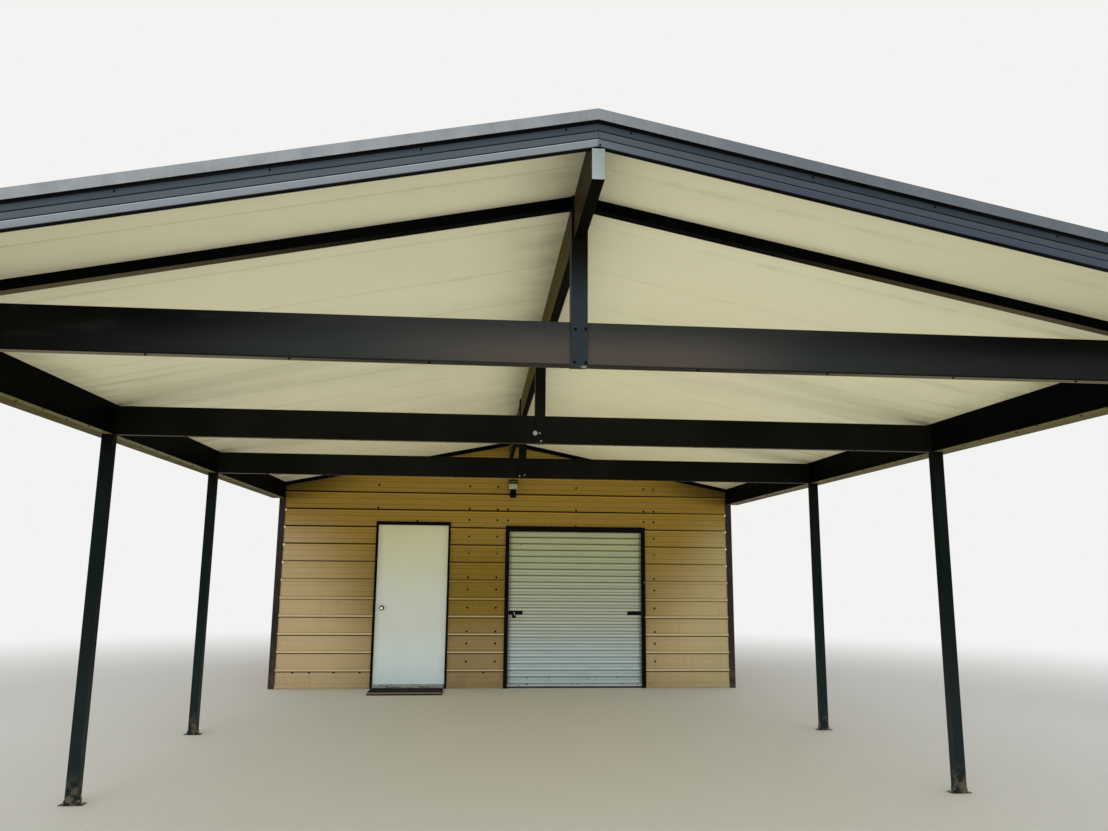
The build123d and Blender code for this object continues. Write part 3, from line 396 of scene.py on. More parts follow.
# King post and ridge hardware. Zinc washers and small screws at the post feet. The ridge beam runs on
# under the fascia as a short nose, and a mill-finish plate closes its open end.
washer = hex_head("washer_pattern", 0.013, 0.007, 0.034)
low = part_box("king_post_middle")[0]
washer_places = [facing((-0.036, low.y, 2.512), (0, -1, 0), 0.3)]
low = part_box("king_post_front")[0]
washer_places.append(facing((0.022, low.y + 0.02, low.z), (0, 0, -1)))
finish(repeat("king_post_washers", washer, washer_places), zinc, "hardware_steel")
foot_screws = []
for place, spots in (("middle", ((-0.0025, 2.511), (0.008, 2.454))),
                     ("rear", ((-0.0285, 2.4575), (0.0216, 2.4685)))):
    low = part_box(f"king_post_{place}")[0]
    foot_screws += [facing((x, low.y, z), (0, -1, 0), x * 9) for x, z in spots]
finish(repeat("king_post_screws", stitch, foot_screws), zinc, "hardware_steel")

# Left as rolled, the metal has a soft grey sheen, cloudy and with small dark spots where it has oxidised.
mill, tree, shader = start_finish("mill finish aluminium, rolled", "#85908f", 0.5, 0.3)
lay_over(shader, "#78817f", blotches(tree, 30, 0.45, 0.75, (1, 1, 0.3)), 0.4)
lay_over(shader, "#4c5053", blotches(tree, 9, 0.62, 0.7), 0.3)
uneven_gloss(shader, 40, 0.45, 0.6)
low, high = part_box("ridge_beam")
NOSE_FRONT = low.y - 0.039
NOSE_TOP = low.z + 0.129
PLATE_THICK = 0.0015
nose = block("ridge_beam_nose", (low.x, NOSE_FRONT, low.z), (high.x, low.y, NOSE_TOP))
finish(soften(nose, 0.0008), ridge_paint, "frame_paint")
plate = block("ridge_end_plate", (low.x, NOSE_FRONT - PLATE_THICK, low.z),
              (high.x, NOSE_FRONT, NOSE_TOP))
finish(soften(plate, 0.0006), mill, "edge_metal")

# Roof panels. Foam-core panels 612 mm wide, skinned in aluminium: ivory enamel under, weathered white over.
# Their fine joints run up the slope, with painted shade in soft bands beside them. Dust and mildew streak
# the ceiling near the eaves, it is darker in patches along the ridge on the left, and painted light makes
# the right slope's ivory paler than the left's.
SLOPE = 0.2025
HALF_SPAN = -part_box("eave_beam_left")[0].x
BEAM_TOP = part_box("tie_beam_front")[1].z
ROOF_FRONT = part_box("roof_panels_left")[0].y
PANEL_WIDTH = 0.612
FIRST_JOINT = ROOF_FRONT + 0.28


def ceiling(x):
    """Height of the underside of the roof."""
    return BEAM_TOP + SLOPE * (HALF_SPAN - abs(x))


def every(tree, axis, first, pitch, wide, soft):
    """Bright lines repeated at a pitch along an axis, each this wide with soft edges."""
    shifted = add_node(tree, "Math", {"operation": "SUBTRACT", 1: first},
                       {0: how_far(tree, axis)})
    counted = add_node(tree, "Math", {"operation": "DIVIDE", 1: pitch}, {0: shifted.outputs[0]})
    near = add_node(tree, "Math", {"operation": "PINGPONG", 1: 0.5}, {0: counted.outputs[0]})
    return add_node(tree, "MapRange", {"interpolation_type": "SMOOTHSTEP",
                                       "From Min": (wide / 2 + soft) / pitch,
                                       "From Max": wide / 2 / pitch},
                    {"Value": near.outputs[0]}).outputs[0]


def specks(tree, spacing, size, shift=0.0):
    """Scattered dots, in millimetres, with most of them left out."""
    place = add_node(tree, "TexCoord")
    spread = add_node(tree, "Mapping", {"Location": (shift,) * 3},
                      {"Vector": place.outputs["Object"]})
    cells = add_node(tree, "TexVoronoi", {"Scale": 1000 / spacing},
                     {"Vector": spread.outputs[0]})
    dots = add_node(tree, "MapRange",
                    {"From Min": size / spacing, "From Max": size / spacing * 0.6},
                    {"Value": cells.outputs["Distance"]})
    chance = add_node(tree, "SeparateColor", None, {0: cells.outputs["Color"]})
    kept = add_node(tree, "Math", {"operation": "GREATER_THAN", 1: 0.6}, {0: chance.outputs[0]})
    return times(tree, dots.outputs[0], kept.outputs[0])


# Painted light: the right slope's ivory and its clouds are paler than the left's.
for side_name, side, ivory, clouded in (("left", -1, "#e3debb", "#d9d4b3"),
                                        ("right", 1, "#efeac4", "#e6e0bb")):
    panel_paint, tree, shader = start_finish(f"ivory enamel on foam-core panel {side_name}, baked",
                                             ivory, 0.5)
    lay_over(shader, clouded, blotches(tree, 1500, 0.35, 0.7, (0.3, 1, 1), side), 0.6)
    streaks = blotches(tree, 150, 0.5, 0.72, (0.07, 1, 0.3), side * 4.0)
    eaves = reach(tree, "X", 1.9, 3.0, True)
    lay_over(shader, "#9a9577", streaks, eaves, 0.55)
    if side < 0:
        by_ridge = reach(tree, "X", 0.42, 0.03, True)
        lay_over(shader, "#958f6f", by_ridge, blotches(tree, 260, 0.25, 0.7, (0.5, 1, 1), 7.0), 0.5)
    corner = times(tree, reach(tree, "X", 2.75, 2.98, True), blotches(tree, 300, 0.35, 0.65, shift=2.0))
    lay_over(shader, "#a9a27d", corner, 0.5)
    joints = every(tree, "Y", FIRST_JOINT, PANEL_WIDTH, 0.004, 0.004)
    lay_over(shader, "#a8a17c", joints, 0.35 if side < 0 else 0.05)
    # Painted shade: soft darker bands beside each joint.
    beside = every(tree, "Y", FIRST_JOINT, PANEL_WIDTH, 0.01, 0.05)
    lay_over(shader, "#b5ae8c", beside, blotches(tree, 220, 0.45, 0.7), 0.2)
    lay_over(shader, "#3b3524", specks(tree, 420, 3, side), 0.8)
    lay_over(shader, "#a9aba6", turned(tree, "X", side * 0.5, side * 0.9))
    top = turned(tree, "Z", 0.2, 0.6)
    lay_over(shader, "#b9bbb8", top)
    lay_over(shader, "#8e8f8a", top, blotches(tree, 240, 0.4, 0.75, (0.2, 1, 1)), 0.7)
    uneven_gloss(shader, 500, 0.42, 0.6)
    relief(shader, 1.6, 600, (0.35, 1, 1), 9.0, 1.0)
    # The orange peel of the panels is drawn 12 mm wide, coarser than it is, so that it shows.
    relief(shader, 0.06, 12)
    dress([f"roof_panels_{side_name}"], panel_paint)

# Fascia. Roll-formed bronze sheet on the front edge of the roof: a shaded recess, two flat bands with
# a groove under each, and a bull-nosed bead that curls back and stays open behind. Screws hold it.
FASCIA_FACE = ROOF_FRONT - 0.040


def drawn(name, section, run, gauge=None):
    """A line is extruded from point to point and drawn out along a run: with a gauge it stays an open
    bent sheet of that thickness, and without one it is closed into a solid bar."""
    bpy.ops.object.select_all(action="DESELECT")
    bpy.ops.mesh.primitive_plane_add(size=0.01, location=section[0])
    piece = bpy.context.object
    piece.name = name
    bpy.ops.object.mode_set(mode="EDIT")
    bpy.ops.mesh.select_mode(type="VERT")
    bpy.ops.mesh.select_all(action="SELECT")
    bpy.ops.mesh.merge(type="CENTER")
    for a, b in zip(section, section[1:]):
        bpy.ops.mesh.extrude_vertices_move(TRANSFORM_OT_translate={"value": Vector(b) - Vector(a)})
    bpy.ops.mesh.select_all(action="SELECT")
    if gauge is None:
        bpy.ops.mesh.edge_face_add()
    bpy.ops.mesh.extrude_region_move(TRANSFORM_OT_translate={"value": run})
    bpy.ops.mesh.select_all(action="SELECT")
    bpy.ops.mesh.normals_make_consistent(inside=False)
    bpy.ops.object.mode_set(mode="OBJECT")
    bpy.ops.object.transform_apply(location=True, rotation=True, scale=True)
    if gauge is not None:
        sheet = piece.modifiers.new("gauge", "SOLIDIFY")
        sheet.thickness = gauge
        sheet.offset = 0
        sheet.use_even_offset = True
        bpy.ops.object.modifier_apply(modifier="gauge")
    return piece


def above_slope(tree, low, high):
    """Rises from 0 to 1 between two plumb heights above the underside of the roof."""
    aside = add_node(tree, "Math", {"operation": "ABSOLUTE"}, {0: how_far(tree, "X")})
    level_out = add_node(tree, "Math", {"operation": "MULTIPLY_ADD", 1: SLOPE},
                         {0: aside.outputs[0], 2: how_far(tree, "Z")})
    return add_node(tree, "MapRange", {"interpolation_type": "SMOOTHSTEP",
                                       "From Min": ceiling(0) + low,
                                       "From Max": ceiling(0) + high},
                    {"Value": level_out.outputs[0]}).outputs[0]


# The enamel is painted blue-grey as a reflection of the sky, darker on the right. Painted light pales the
# band between the grooves and the left of the bead, and painted shade darkens the top band under the
# recess, the recess and the curl under the bead. Its grooves are black with shade, and a pale line runs
# along the bead where it catches the sky.
fascia_paint, tree, shader = start_finish("bronze enamel on fascia sheet, roll-formed", "#39444a", 0.5,
                                          specular=0.05)
lay_over(shader, "#2c333b", reach(tree, "X", -0.8, 1.0), 0.95)
lower_band = times(tree, above_slope(tree, -0.014, -0.018), above_slope(tree, -0.049, -0.045))
lay_over(shader, "#4e555d", lower_band, 0.85)
lay_over(shader, "#3e454d", lower_band, reach(tree, "X", -0.4, 1.0), 0.9)
lay_over(shader, "#1c2429", above_slope(tree, -0.004, 0.0145), 0.6)
bead = above_slope(tree, -0.046, -0.050)
lay_over(shader, "#3e4650", bead, 0.95)
lay_over(shader, "#7a8084", bead, reach(tree, "X", 0.9, -1.2), 0.95)
left_half = reach(tree, "X", 0.01, -0.01)
lay_over(shader, "#7c8388", bead, left_half, 0.85)
lit_edge = times(tree, above_slope(tree, -0.0475, -0.0495), above_slope(tree, -0.056, -0.052))
lay_over(shader, "#5a636b", lit_edge, 0.6)
lay_over(shader, "#a6acb4", lit_edge, left_half, 0.95)
for top, foot in ((-0.0118, -0.0168), (-0.0443, -0.0491)):
    groove = times(tree, above_slope(tree, top, top - 0.0008), above_slope(tree, foot, foot + 0.0008))
    lay_over(shader, "#0a0d10", groove, 0.95)
lay_over(shader, "#050504", above_slope(tree, -0.0785, -0.0820))
lay_over(shader, "#040506", above_slope(tree, 0.0145, 0.0155))
lay_over(shader, "#4b545d", blotches(tree, 500, 0.4, 0.7, (0.4, 1, 1)), 0.06)
uneven_gloss(shader, 300, 0.4, 0.6)
relief(shader, 0.5, 700, (0.3, 1, 1), 1.0, 1.0)
fascia_section = [(-0.0255, -0.0885), (-0.0255, -0.002), (0.0, -0.002), (0.0, 0.032), (-0.028, 0.032),
                  (-0.028, 0.016), (-0.040, 0.0153), (-0.040, -0.0113), (-0.0392, -0.012),
                  (-0.034, -0.0125), (-0.034, -0.016), (-0.0392, -0.0165), (-0.040, -0.0172),
                  (-0.040, -0.0438), (-0.0392, -0.0445), (-0.034, -0.045), (-0.034, -0.0485),
                  (-0.0385, -0.049), (-0.0415, -0.0505), (-0.0438, -0.055), (-0.045, -0.0615),
                  (-0.045, -0.067), (-0.0436, -0.0745), (-0.0400, -0.0815), (-0.0345, -0.087),
                  (-0.0275, -0.090)]
EAVE_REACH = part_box("rake_fascia_right")[1].x
MITRE_GAP = 0.0007
SCREW_LINE = 0.008
fascia_screws = []
for side_name, side, spots in (("left", -1, (0.129, 0.69, 1.252, 1.807, 2.37, 2.93)),
                               ("right", 1, (0.1305, 0.865, 1.368, 1.88, 2.40, 2.93))):
    outline = [(side * MITRE_GAP, ROOF_FRONT + y, ceiling(0) + h) for y, h in fascia_section]
    length = EAVE_REACH - MITRE_GAP
    piece = drawn(f"fascia_{side_name}", outline, (side * length, 0, -SLOPE * length))
    finish(rounded(piece), fascia_paint, "fascia_paint", f"rake_fascia_{side_name}")
    for x in spots:
        place = (side * x, FASCIA_FACE + 0.002, ceiling(x) + SCREW_LINE)
        fascia_screws.append(facing(place, (0, -1, 0), x))
fascia_screws.append(facing((0.0066, ROOF_FRONT - 0.038, ceiling(0) - 0.076), (0, -1, 0)))
finish(repeat("fascia_screws", stitch, fascia_screws), screw_paint, "frame_paint")

# Roof edge trim and ridge cap. Bent aluminium flashing, left to weather dull grey, screwed down on the
# panels; rain has drawn darker runs down its face.
edge_metal, tree, shader = start_finish("weathered aluminium flashing, bent", "#82888a", 0.66, 0.15)
# Painted shade darkens the metal towards the right, and blackens every face that looks down.
lay_over(shader, "#4a525a", reach(tree, "X", -0.5, 1.0), 0.9)
lay_over(shader, "#63686a", blotches(tree, 120, 0.42, 0.7), 0.35)
lay_over(shader, "#4f5354", blotches(tree, 45, 0.55, 0.75, (1, 1, 0.15), 2.0), 0.3)
lay_over(shader, "#050607", turned(tree, "Z", -0.3, -0.7))
uneven_gloss(shader, 90, 0.5, 0.75)
relief(shader, 0.25, 25)
dress(["roof_edge_trim_left", "roof_edge_trim_right", "ridge_cap"], edge_metal)
cap_low, cap_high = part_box("ridge_cap")
cap_above = cap_high.z - ceiling(0)
PANEL_THICK = 0.076
FLASHING_SPACING = 0.3
roof_screws = []
for side in (-1, 1):
    lean = Vector((side * SLOPE, 0, 1)).normalized()
    for i in range(int((cap_high.y - cap_low.y) / FLASHING_SPACING)):
        x, y = side * 0.14, cap_low.y + 0.12 + FLASHING_SPACING * i
        roof_screws.append(facing((x, y, ceiling(x) + cap_above), lean))
    for i in range(10):
        x = side * (0.15 + FLASHING_SPACING * i)
        roof_screws.append(facing((x, ROOF_FRONT + 0.03, ceiling(x) + PANEL_THICK + 0.003), lean))
finish(repeat("flashing_screws", stitch, roof_screws), zinc, "edge_metal")

# Gutters. Box gutters of bronze sheet outside the eave beams, hung from straps every 610 mm. Their
# undersides carry painted light from the ground, a dull olive that is greyer on the right, with long drawn
# lines.
gutter_paint, tree, shader = start_finish("bronze enamel on gutter sheet, roll-formed", "#211d14", 0.7,
                                          specular=0.005)
lay_over(shader, "#2b2619", blotches(tree, 400, 0.4, 0.7, (1, 0.2, 1)), 0.4)
facing_down = turned(tree, "Z", -0.5, -0.9)
lay_over(shader, "#4d451f", facing_down)
lay_over(shader, "#6a5f42", facing_down, reach(tree, "X", 2.8, 3.0), 0.8)
lay_over(shader, "#5f572f", facing_down, blotches(tree, 16, 0.45, 0.65, (1, 0.004, 1)), 0.5)
lay_over(shader, "#5b5546", turned(tree), 0.8)
uneven_gloss(shader, 200, 0.4, 0.62)
dress(["gutter_left", "gutter_right"], gutter_paint)
GUTTER_DEEP, STRAP_WIDE, STRAP_THICK = 0.165, 0.025, 0.002
low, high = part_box("gutter_right")
straps = [low.y + 0.2 + i * SCREW_SPACING for i in range(int((high.y - low.y) / SCREW_SPACING) + 1)]
straps = [y for y in straps if y < high.y - 0.05]
rim, front, against = low.z + GUTTER_DEEP, high.x, HALF_SPAN + 0.0015
for side_name, side in (("left", -1), ("right", 1)):
    bent = [(side * x, rim - drop) for x, drop in ((against, 0.03), (against, 0.004),
                                                   (front - 0.02, 0.004), (front - 0.004, 0.004))]
    parts = [drawn("strap", [(x, y, z) for x, z in bent], (0, STRAP_WIDE, 0), STRAP_THICK)
             for y in straps]
    finish(join(f"gutter_straps_{side_name}", parts), mill, "gutter_paint")

# Shed walls. Ribbed steel sheet laid sideways: a 19 mm rib every 229 mm and two shallow ribs in each
# flat. The tan paint is paler near the corners and a deeper gold under the roof, darkest in the middle at
# mid
# height: partly bleaching where low sun reaches it, partly painted light and shade.
RIB_HIGH = 0.019
RIB_PITCH = 0.229
SHALLOW_HIGH = 0.0035
WALL_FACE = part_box("front_wall_middle")[0].y + RIB_HIGH
WALLS = [f"front_wall_{part}" for part in ("left", "over_door", "middle", "over_shutter", "right")]
WALLS += ["shed_side_wall_left", "shed_side_wall_right", "shed_back_wall"]

siding_paint, tree, shader = start_finish("tan enamel on ribbed steel, baked", "#b8a57c", 0.5,
                                          specular=0.1)
lay_over(shader, "#c1a87c", blotches(tree, 1100, 0.4, 0.7, (0.3, 0.3, 1)), 0.3)
# Under the roof the front wall turns a deeper gold higher up, partly unfaded paint and partly painted
# shade.
inside_front = times(tree, reach(tree, "Y", WALL_FACE + 0.2, WALL_FACE - 0.05),
                     reach(tree, "X", 3.2, 3.0, True))
lay_over(shader, "#8c6e06", inside_front, reach(tree, "Z", 0.5, 2.2), 0.97)
# Painted shade darkens the middle of the front wall, most at mid height.
middle_part = times(tree, inside_front, reach(tree, "X", 2.6, 1.2, True))
lay_over(shader, "#7f6c42", middle_part, reach(tree, "Z", 1.9, 1.2), 0.85)
mid_height = times(tree, reach(tree, "Z", 0.4, 1.1), reach(tree, "Z", 2.2, 1.6))
lay_over(shader, "#796106", middle_part, mid_height, 0.9)
# Towards the corners the wall is paler below the top, partly bleached by low sun and partly painted light.
for start, end, tone in ((-1.8, -3.0, "#c2ac84"), (2.2, 3.05, "#b8ae80")):
    bleach_and_light = times(tree, reach(tree, "X", start, end), reach(tree, "Z", 2.4, 1.8))
    lay_over(shader, tone, bleach_and_light, inside_front, 0.7)
low_dust = times(tree, reach(tree, "Z", 0.5, 0.0), blotches(tree, 160, 0.3, 0.7))
lay_over(shader, "#a8987a", low_dust, 0.4)
splashes = times(tree, reach(tree, "Z", 0.3, 0.02), blotches(tree, 14, 0.58, 0.68))
lay_over(shader, "#6f5f43", splashes, 0.5)
lay_over(shader, "#8b7853", blotches(tree, 70, 0.56, 0.75, (1, 1, 0.12), 5.0), 0.25)
# Painted shade lies in the bends: dark on the upper flank of each rib high up, and on the lower flank low
# down, with painted highlights on the crests and at the rib ends by the corner trims. Close under the wall
# rafters painted shade makes the sheet browner too.
under_rafter = times(tree, inside_front, above_slope(tree, -0.34, -0.14),
                     reach(tree, "X", 1.7, 2.8, True))
lay_over(shader, "#3a2904", under_rafter, 0.75)
by_rib = times(tree, inside_front, every(tree, "Z", 0.0, RIB_PITCH, 0.058, 0.004))
upper_flank, lower_flank = turned(tree, "Z", 0.3, 0.65), turned(tree, "Z", -0.3, -0.65)
high_up = times(tree, by_rib, reach(tree, "Z", 1.1, 2.15))
low_down = times(tree, by_rib, reach(tree, "Z", 1.5, 0.8))
lay_over(shader, "#4a3606", upper_flank, inside_front, reach(tree, "Z", 1.0, 1.7), 0.5)
crest = every(tree, "Z", 0.0, RIB_PITCH, 0.016, 0.004)
lay_over(shader, "#c79e4c", crest, high_up, 0.3)
lay_over(shader, "#dccba2", crest, low_down, 0.5)
upper_bend = every(tree, "Z", 0.018, RIB_PITCH, 0.019, 0.003)
lay_over(shader, "#0d0800", upper_bend, high_up, reach(tree, "X", 4.0, 1.0))
lay_over(shader, "#1e1600", lower_flank, low_down, 0.95)
# Painted highlights on the ends of the ribs next to the corner trims.
rib_end_highlights = times(tree, every(tree, "Z", 0.0, RIB_PITCH, 0.026, 0.008),
                 reach(tree, "X", 2.955, 2.962, True), inside_front, reach(tree, "Z", 1.0, 1.8),
                 reach(tree, "Z", 2.42, 2.40))
lay_over(shader, "#f0e4c8", rib_end_highlights, 0.8)
uneven_gloss(shader, 400, 0.42, 0.58)
relief(shader, 0.9, 450, (0.3, 0.3, 1), 3.0, 1.0)
dress(WALLS, siding_paint)

rib = block("shallow_rib", (-0.5, -SHALLOW_HIGH, -0.014), (0.5, 0.0006, 0.014))
bpy.ops.object.mode_set(mode="EDIT")
pick_faces(rib, lambda centre, normal: normal.y < -0.9)
bpy.ops.transform.resize(value=(1, 1, 0.55))
bpy.ops.object.mode_set(mode="OBJECT")

door_low, door_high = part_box("door_frame")
shutter_low, shutter_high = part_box("shutter_frame")
trim_low, trim_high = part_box("corner_trim_front_right")


def wall_spans(z, openings):
    """The lengths of a gable wall at one height, between its corner trims and its openings."""
    half = trim_low.x
    if z > BEAM_TOP:
        half = min(half, HALF_SPAN - (z - BEAM_TOP) / SLOPE - 0.02)
    spans, start = [], -half
    for low, high, top in openings:
        if z < top + 0.01:
            spans.append((start, low))
            start = high
    spans.append((start, half))
    return [(a, b) for a, b in spans if b - a > 0.05]


front_openings = [(door_low.x, door_high.x, door_high.z), (shutter_low.x, shutter_high.x, shutter_high.z)]
levels = [RIB_PITCH * (row + third / 3) for row in range(14) for third in (1, 2)]
front_ribs, back_ribs = [], []
back_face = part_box("shed_back_wall")[1].y - RIB_HIGH
for z in levels:
    if z > ceiling(0) - 0.06:
        continue
    for a, b in wall_spans(z, front_openings):
        front_ribs.append(Matrix.Translation(((a + b) / 2, WALL_FACE, z))
                          @ Matrix.Diagonal((b - a, 1, 1, 1)))
    for a, b in wall_spans(z, []):
        back_ribs.append(Matrix.Translation(((a + b) / 2, back_face, z))
                         @ Matrix.Rotation(math.pi, 4, "Z") @ Matrix.Diagonal((b - a, 1, 1, 1)))
finish(repeat("front_wall_shallow_ribs", rib, front_ribs), siding_paint, "siding_paint")
finish(repeat("back_wall_shallow_ribs", rib, back_ribs), siding_paint, "siding_paint")
back_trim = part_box("corner_trim_back_right")[0].y
for side_name, side in (("left", -1), ("right", 1)):
    box_low, box_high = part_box(f"shed_side_wall_{side_name}")
    face = side * (max(abs(box_low.x), abs(box_high.x)) - RIB_HIGH)
    middle, length = (trim_high.y + back_trim) / 2, back_trim - trim_high.y
    places = [Matrix.Translation((face, middle, z)) @ Matrix.Rotation(side * math.pi / 2, 4, "Z")
              @ Matrix.Diagonal((length, 1, 1, 1)) for z in levels if z < BEAM_TOP - 0.03]
    finish(repeat(f"side_wall_shallow_ribs_{side_name}", rib, places), siding_paint, "siding_paint")

base_strips = []
for a, b in wall_spans(0.1, front_openings):
    outline = [(a, WALL_FACE + 0.0006, 0.004), (a, WALL_FACE - 0.004, 0.004),
               (a, WALL_FACE - 0.004, 0.012), (a, WALL_FACE - 0.017, 0.013),
               (a, WALL_FACE - 0.017, 0.018), (a, WALL_FACE + 0.0006, 0.046)]
    base_strips.append(drawn("base_strip", outline, (b - a, 0, 0)))
finish(join("front_wall_base_lip", base_strips), siding_paint, "siding_paint")

# Siding screws. Painted hex screws with rubber washers, in upright rows along the frame behind: the
# rows beside the door and the roll-up door, short rows over them, and a few more along the base.
row_heights = (2.637, 2.333, 2.186, 1.965, 1.745, 1.424, 1.268, 1.031, 0.722, 0.570, 0.340, 0.022)
siding_screw = hex_head("siding_screw_pattern", 0.013, 0.006, 0.028)
spots = [(x, z) for x in (-0.545, -0.167, 1.971) for z in row_heights]
spots += [(1.833, z) for z in row_heights[:3]] + [(0.90, z) for z in row_heights[:2]]
spots += [(-1.763, z) for z in row_heights[:2]] + [(-0.027, 2.335), (-0.027, 2.185)]
spots += [(-2.551, 0.203), (-2.244, 0.203), (-2.762, 0.203), (-2.383, 0.023), (-0.679, 0.023),
          (-0.378, 0.024), (-0.313, 0.203), (2.414, 0.023), (-1.24, 2.162), (0.895, 2.125),
          (-1.909, 0.203)]


def off_flat(z):
    """How far the sheet stands out at a height: its ribs are raised."""
    if z <= 0.1:
        return 0.004
    near = abs(z - RIB_PITCH * round(z / RIB_PITCH))
    return RIB_HIGH * min(1.0, max(0.0, (0.026 - near) / 0.016))


FRAME_SPACING = 1.16
screw_places = [facing((x, WALL_FACE - off_flat(z), z), (0, -1, 0), x * 7) for x, z in spots]
for column in range(6):
    x = -2.9 + column * FRAME_SPACING
    for row in range(12):
        z = RIB_PITCH * (row + 0.5)
        if z < ceiling(x) - 0.1:
            screw_places.append(facing((x, back_face, z), (0, 1, 0), row))
            if column < 4:
                y = trim_high.y + 0.1 + column * (back_trim - trim_high.y - 0.2) / 3
                if z < BEAM_TOP - 0.1:
                    for side in (-1, 1):
                        place = (side * (HALF_SPAN + 0.012), y, z)
                        screw_places.append(facing(place, (side, 0, 0), row))
# Painted heads on black rubber look like brown-black dots with hardly any shine.
screw_rubber, tree, shader = start_finish("painted screw on rubber washer, dulled", "#070401", 0.6,
                                          specular=0.02)
lay_over(shader, "#150e05", blotches(tree, 20, 0.5, 0.7))
finish(repeat("siding_screws", siding_screw, screw_places), screw_rubber, "siding_paint")

# Corner, rake and eave trims. Dark brown enamelled steel angles that wrap the sheet ends; the foot of
# each corner is dulled by dust.
trim_paint, tree, shader = start_finish("dark brown enamel on steel trim, bent", "#1f1510", 0.5,
                                        specular=0.2)
lay_over(shader, "#281b15", blotches(tree, 300, 0.4, 0.7, (1, 1, 0.3)), 0.6)
foot_dust = times(tree, reach(tree, "Z", 0.7, 0.0), blotches(tree, 60, 0.3, 0.7))
lay_over(shader, "#6a574a", foot_dust, 0.6)
lay_over(shader, "#5d5044", turned(tree), 0.5)
uneven_gloss(shader, 150, 0.4, 0.6)
relief(shader, 0.5, 350, (1, 1, 0.3), 3.0, 1.0)
TRIMS = [f"corner_trim_{end}_{side}" for end in ("front", "back") for side in ("left", "right")]
TRIMS += [f"shed_{edge}_trim_{side}" for edge in ("rake", "eave") for side in ("left", "right")]
dress(TRIMS, trim_paint)
# The enamel of the frames is nearly black, and draws a dark line round each door.
frame_enamel, tree, shader = start_finish("black-brown enamel on door and shutter frames, bent",
                                          "#0a0605", 0.55, specular=0.03)
lay_over(shader, "#100b09", blotches(tree, 200, 0.4, 0.7, (1, 1, 0.3)), 0.6)
lay_over(shader, "#2b241e", reach(tree, "Z", 0.4, 0.0), blotches(tree, 50, 0.35, 0.7), 0.3)
uneven_gloss(shader, 150, 0.4, 0.6)
dress(["door_frame", "shutter_frame"], frame_enamel)

# Shed roof. Ribbed steel sheet like the walls, in brown enamel, with its ribs running down the slope.
# Nothing of it shows from the front; rain has left paler and darker streaks along the ribs.
shed_roof_paint, tree, shader = start_finish("brown enamel on ribbed roof steel, baked", "#5a4836", 0.5)
lay_over(shader, "#6b5945", blotches(tree, 500, 0.4, 0.7, (0.2, 1, 1)), 0.5)
lay_over(shader, "#463829", blotches(tree, 80, 0.5, 0.72, (0.12, 1, 1), 3.0), 0.5)
uneven_gloss(shader, 300, 0.42, 0.62)
relief(shader, 0.9, 400, (0.3, 1, 1), 1.0, 1.0)
dress(["shed_roof_left", "shed_roof_right"], shed_roof_paint)

# Walk-in door. A flush steel leaf in white enamel, greyer by the floor; it turns on three hinges on
# the right, on the inside, and its weather strip leaves a fine dark line round it.
door_paint, tree, shader = start_finish("white enamel on flush steel door, rolled", "#c9d0c4", 0.42)
# Painted light tints the leaf yellow-green towards the top and bluish towards the foot.
lay_over(shader, "#cfcc9f", reach(tree, "Z", 0.9, 2.1), 0.9)
lay_over(shader, "#d6e8ec", reach(tree, "Z", 0.9, 0.05), 0.85)
lay_over(shader, "#a9aea4", blotches(tree, 260, 0.5, 0.75), 0.1)
kicks = times(tree, reach(tree, "Z", 0.32, 0.06), blotches(tree, 40, 0.52, 0.7))
lay_over(shader, "#85857a", kicks, 0.15)
lay_over(shader, "#5c5b4f", specks(tree, 170, 1.5, 2.0), 0.25)
uneven_gloss(shader, 350, 0.36, 0.5)
relief(shader, 0.5, 380, shift=3.0, detail=1.0)
# The orange peel of the leaf is drawn 9 mm wide, coarser than it is, so that it shows.
relief(shader, 0.05, 9)
dress(["door_leaf"], door_paint)
# Satin nickel gives the hinges soft, warm highlights, which show only with the door open.
steel, tree, shader = start_finish("satin nickel on steel, brushed", "#b3ae9c", 0.28, 1.0)
lay_over(shader, "#8a846c", blotches(tree, 10, 0.5, 0.75), 0.5)
uneven_gloss(shader, 6, 0.2, 0.36)
dress(["door_hinge_pins", "door_hinge_plates"], steel)

# The knob is brass, painted dark on its rose and round the ball as shade, with a painted highlight at the
# middle where hands have polished it.
knob_low, knob_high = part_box("door_knob")
brass, tree, shader = start_finish("brass on door knob with painted highlight, turned", "#3d3f28", 0.35, 0.6)
place = add_node(tree, "TexCoord")
centred = add_node(tree, "Mapping",
                   {"Location": (-(knob_low.x + knob_high.x) / 2, 0, -(knob_low.z + knob_high.z) / 2),
                    "Scale": (1, 0, 1)}, {"Vector": place.outputs["Object"]})
off_axis = add_node(tree, "VectorMath", {"operation": "LENGTH"}, {0: centred.outputs[0]})
polish_and_highlight = add_node(tree, "MapRange",
                    {"interpolation_type": "SMOOTHSTEP", "From Min": 0.020, "From Max": 0.010},
                    {"Value": off_axis.outputs["Value"]})
lay_over(shader, "#e3dfb8", polish_and_highlight.outputs[0])
lay_over(shader, "#2c2c1b", blotches(tree, 8, 0.5, 0.75), 0.4)
uneven_gloss(shader, 6, 0.25, 0.42)
dress(["door_knob"], brass)

# Threshold. A bright aluminium strip folded over the sill of the walk-in door, scuffed where feet land
# on it, with grit along its nose.
sill = drawn("door_threshold", [(door_low.x + 0.030, door_low.y - 0.0008, 0.036),
                                (door_low.x + 0.030, door_low.y - 0.0008, 0.0442),
                                (door_low.x + 0.030, door_low.y + 0.030, 0.0442)],
             (door_high.x - door_low.x - 0.060, 0, 0), 0.0012)
scuffed, tree, shader = start_finish("mill finish aluminium threshold, scuffed", "#b3bab8", 0.5, 0.2)
lay_over(shader, "#3b372c", blotches(tree, 45, 0.52, 0.62, (1, 1, 1), 4.0), 0.8)
finish(sill, scuffed, "edge_metal")
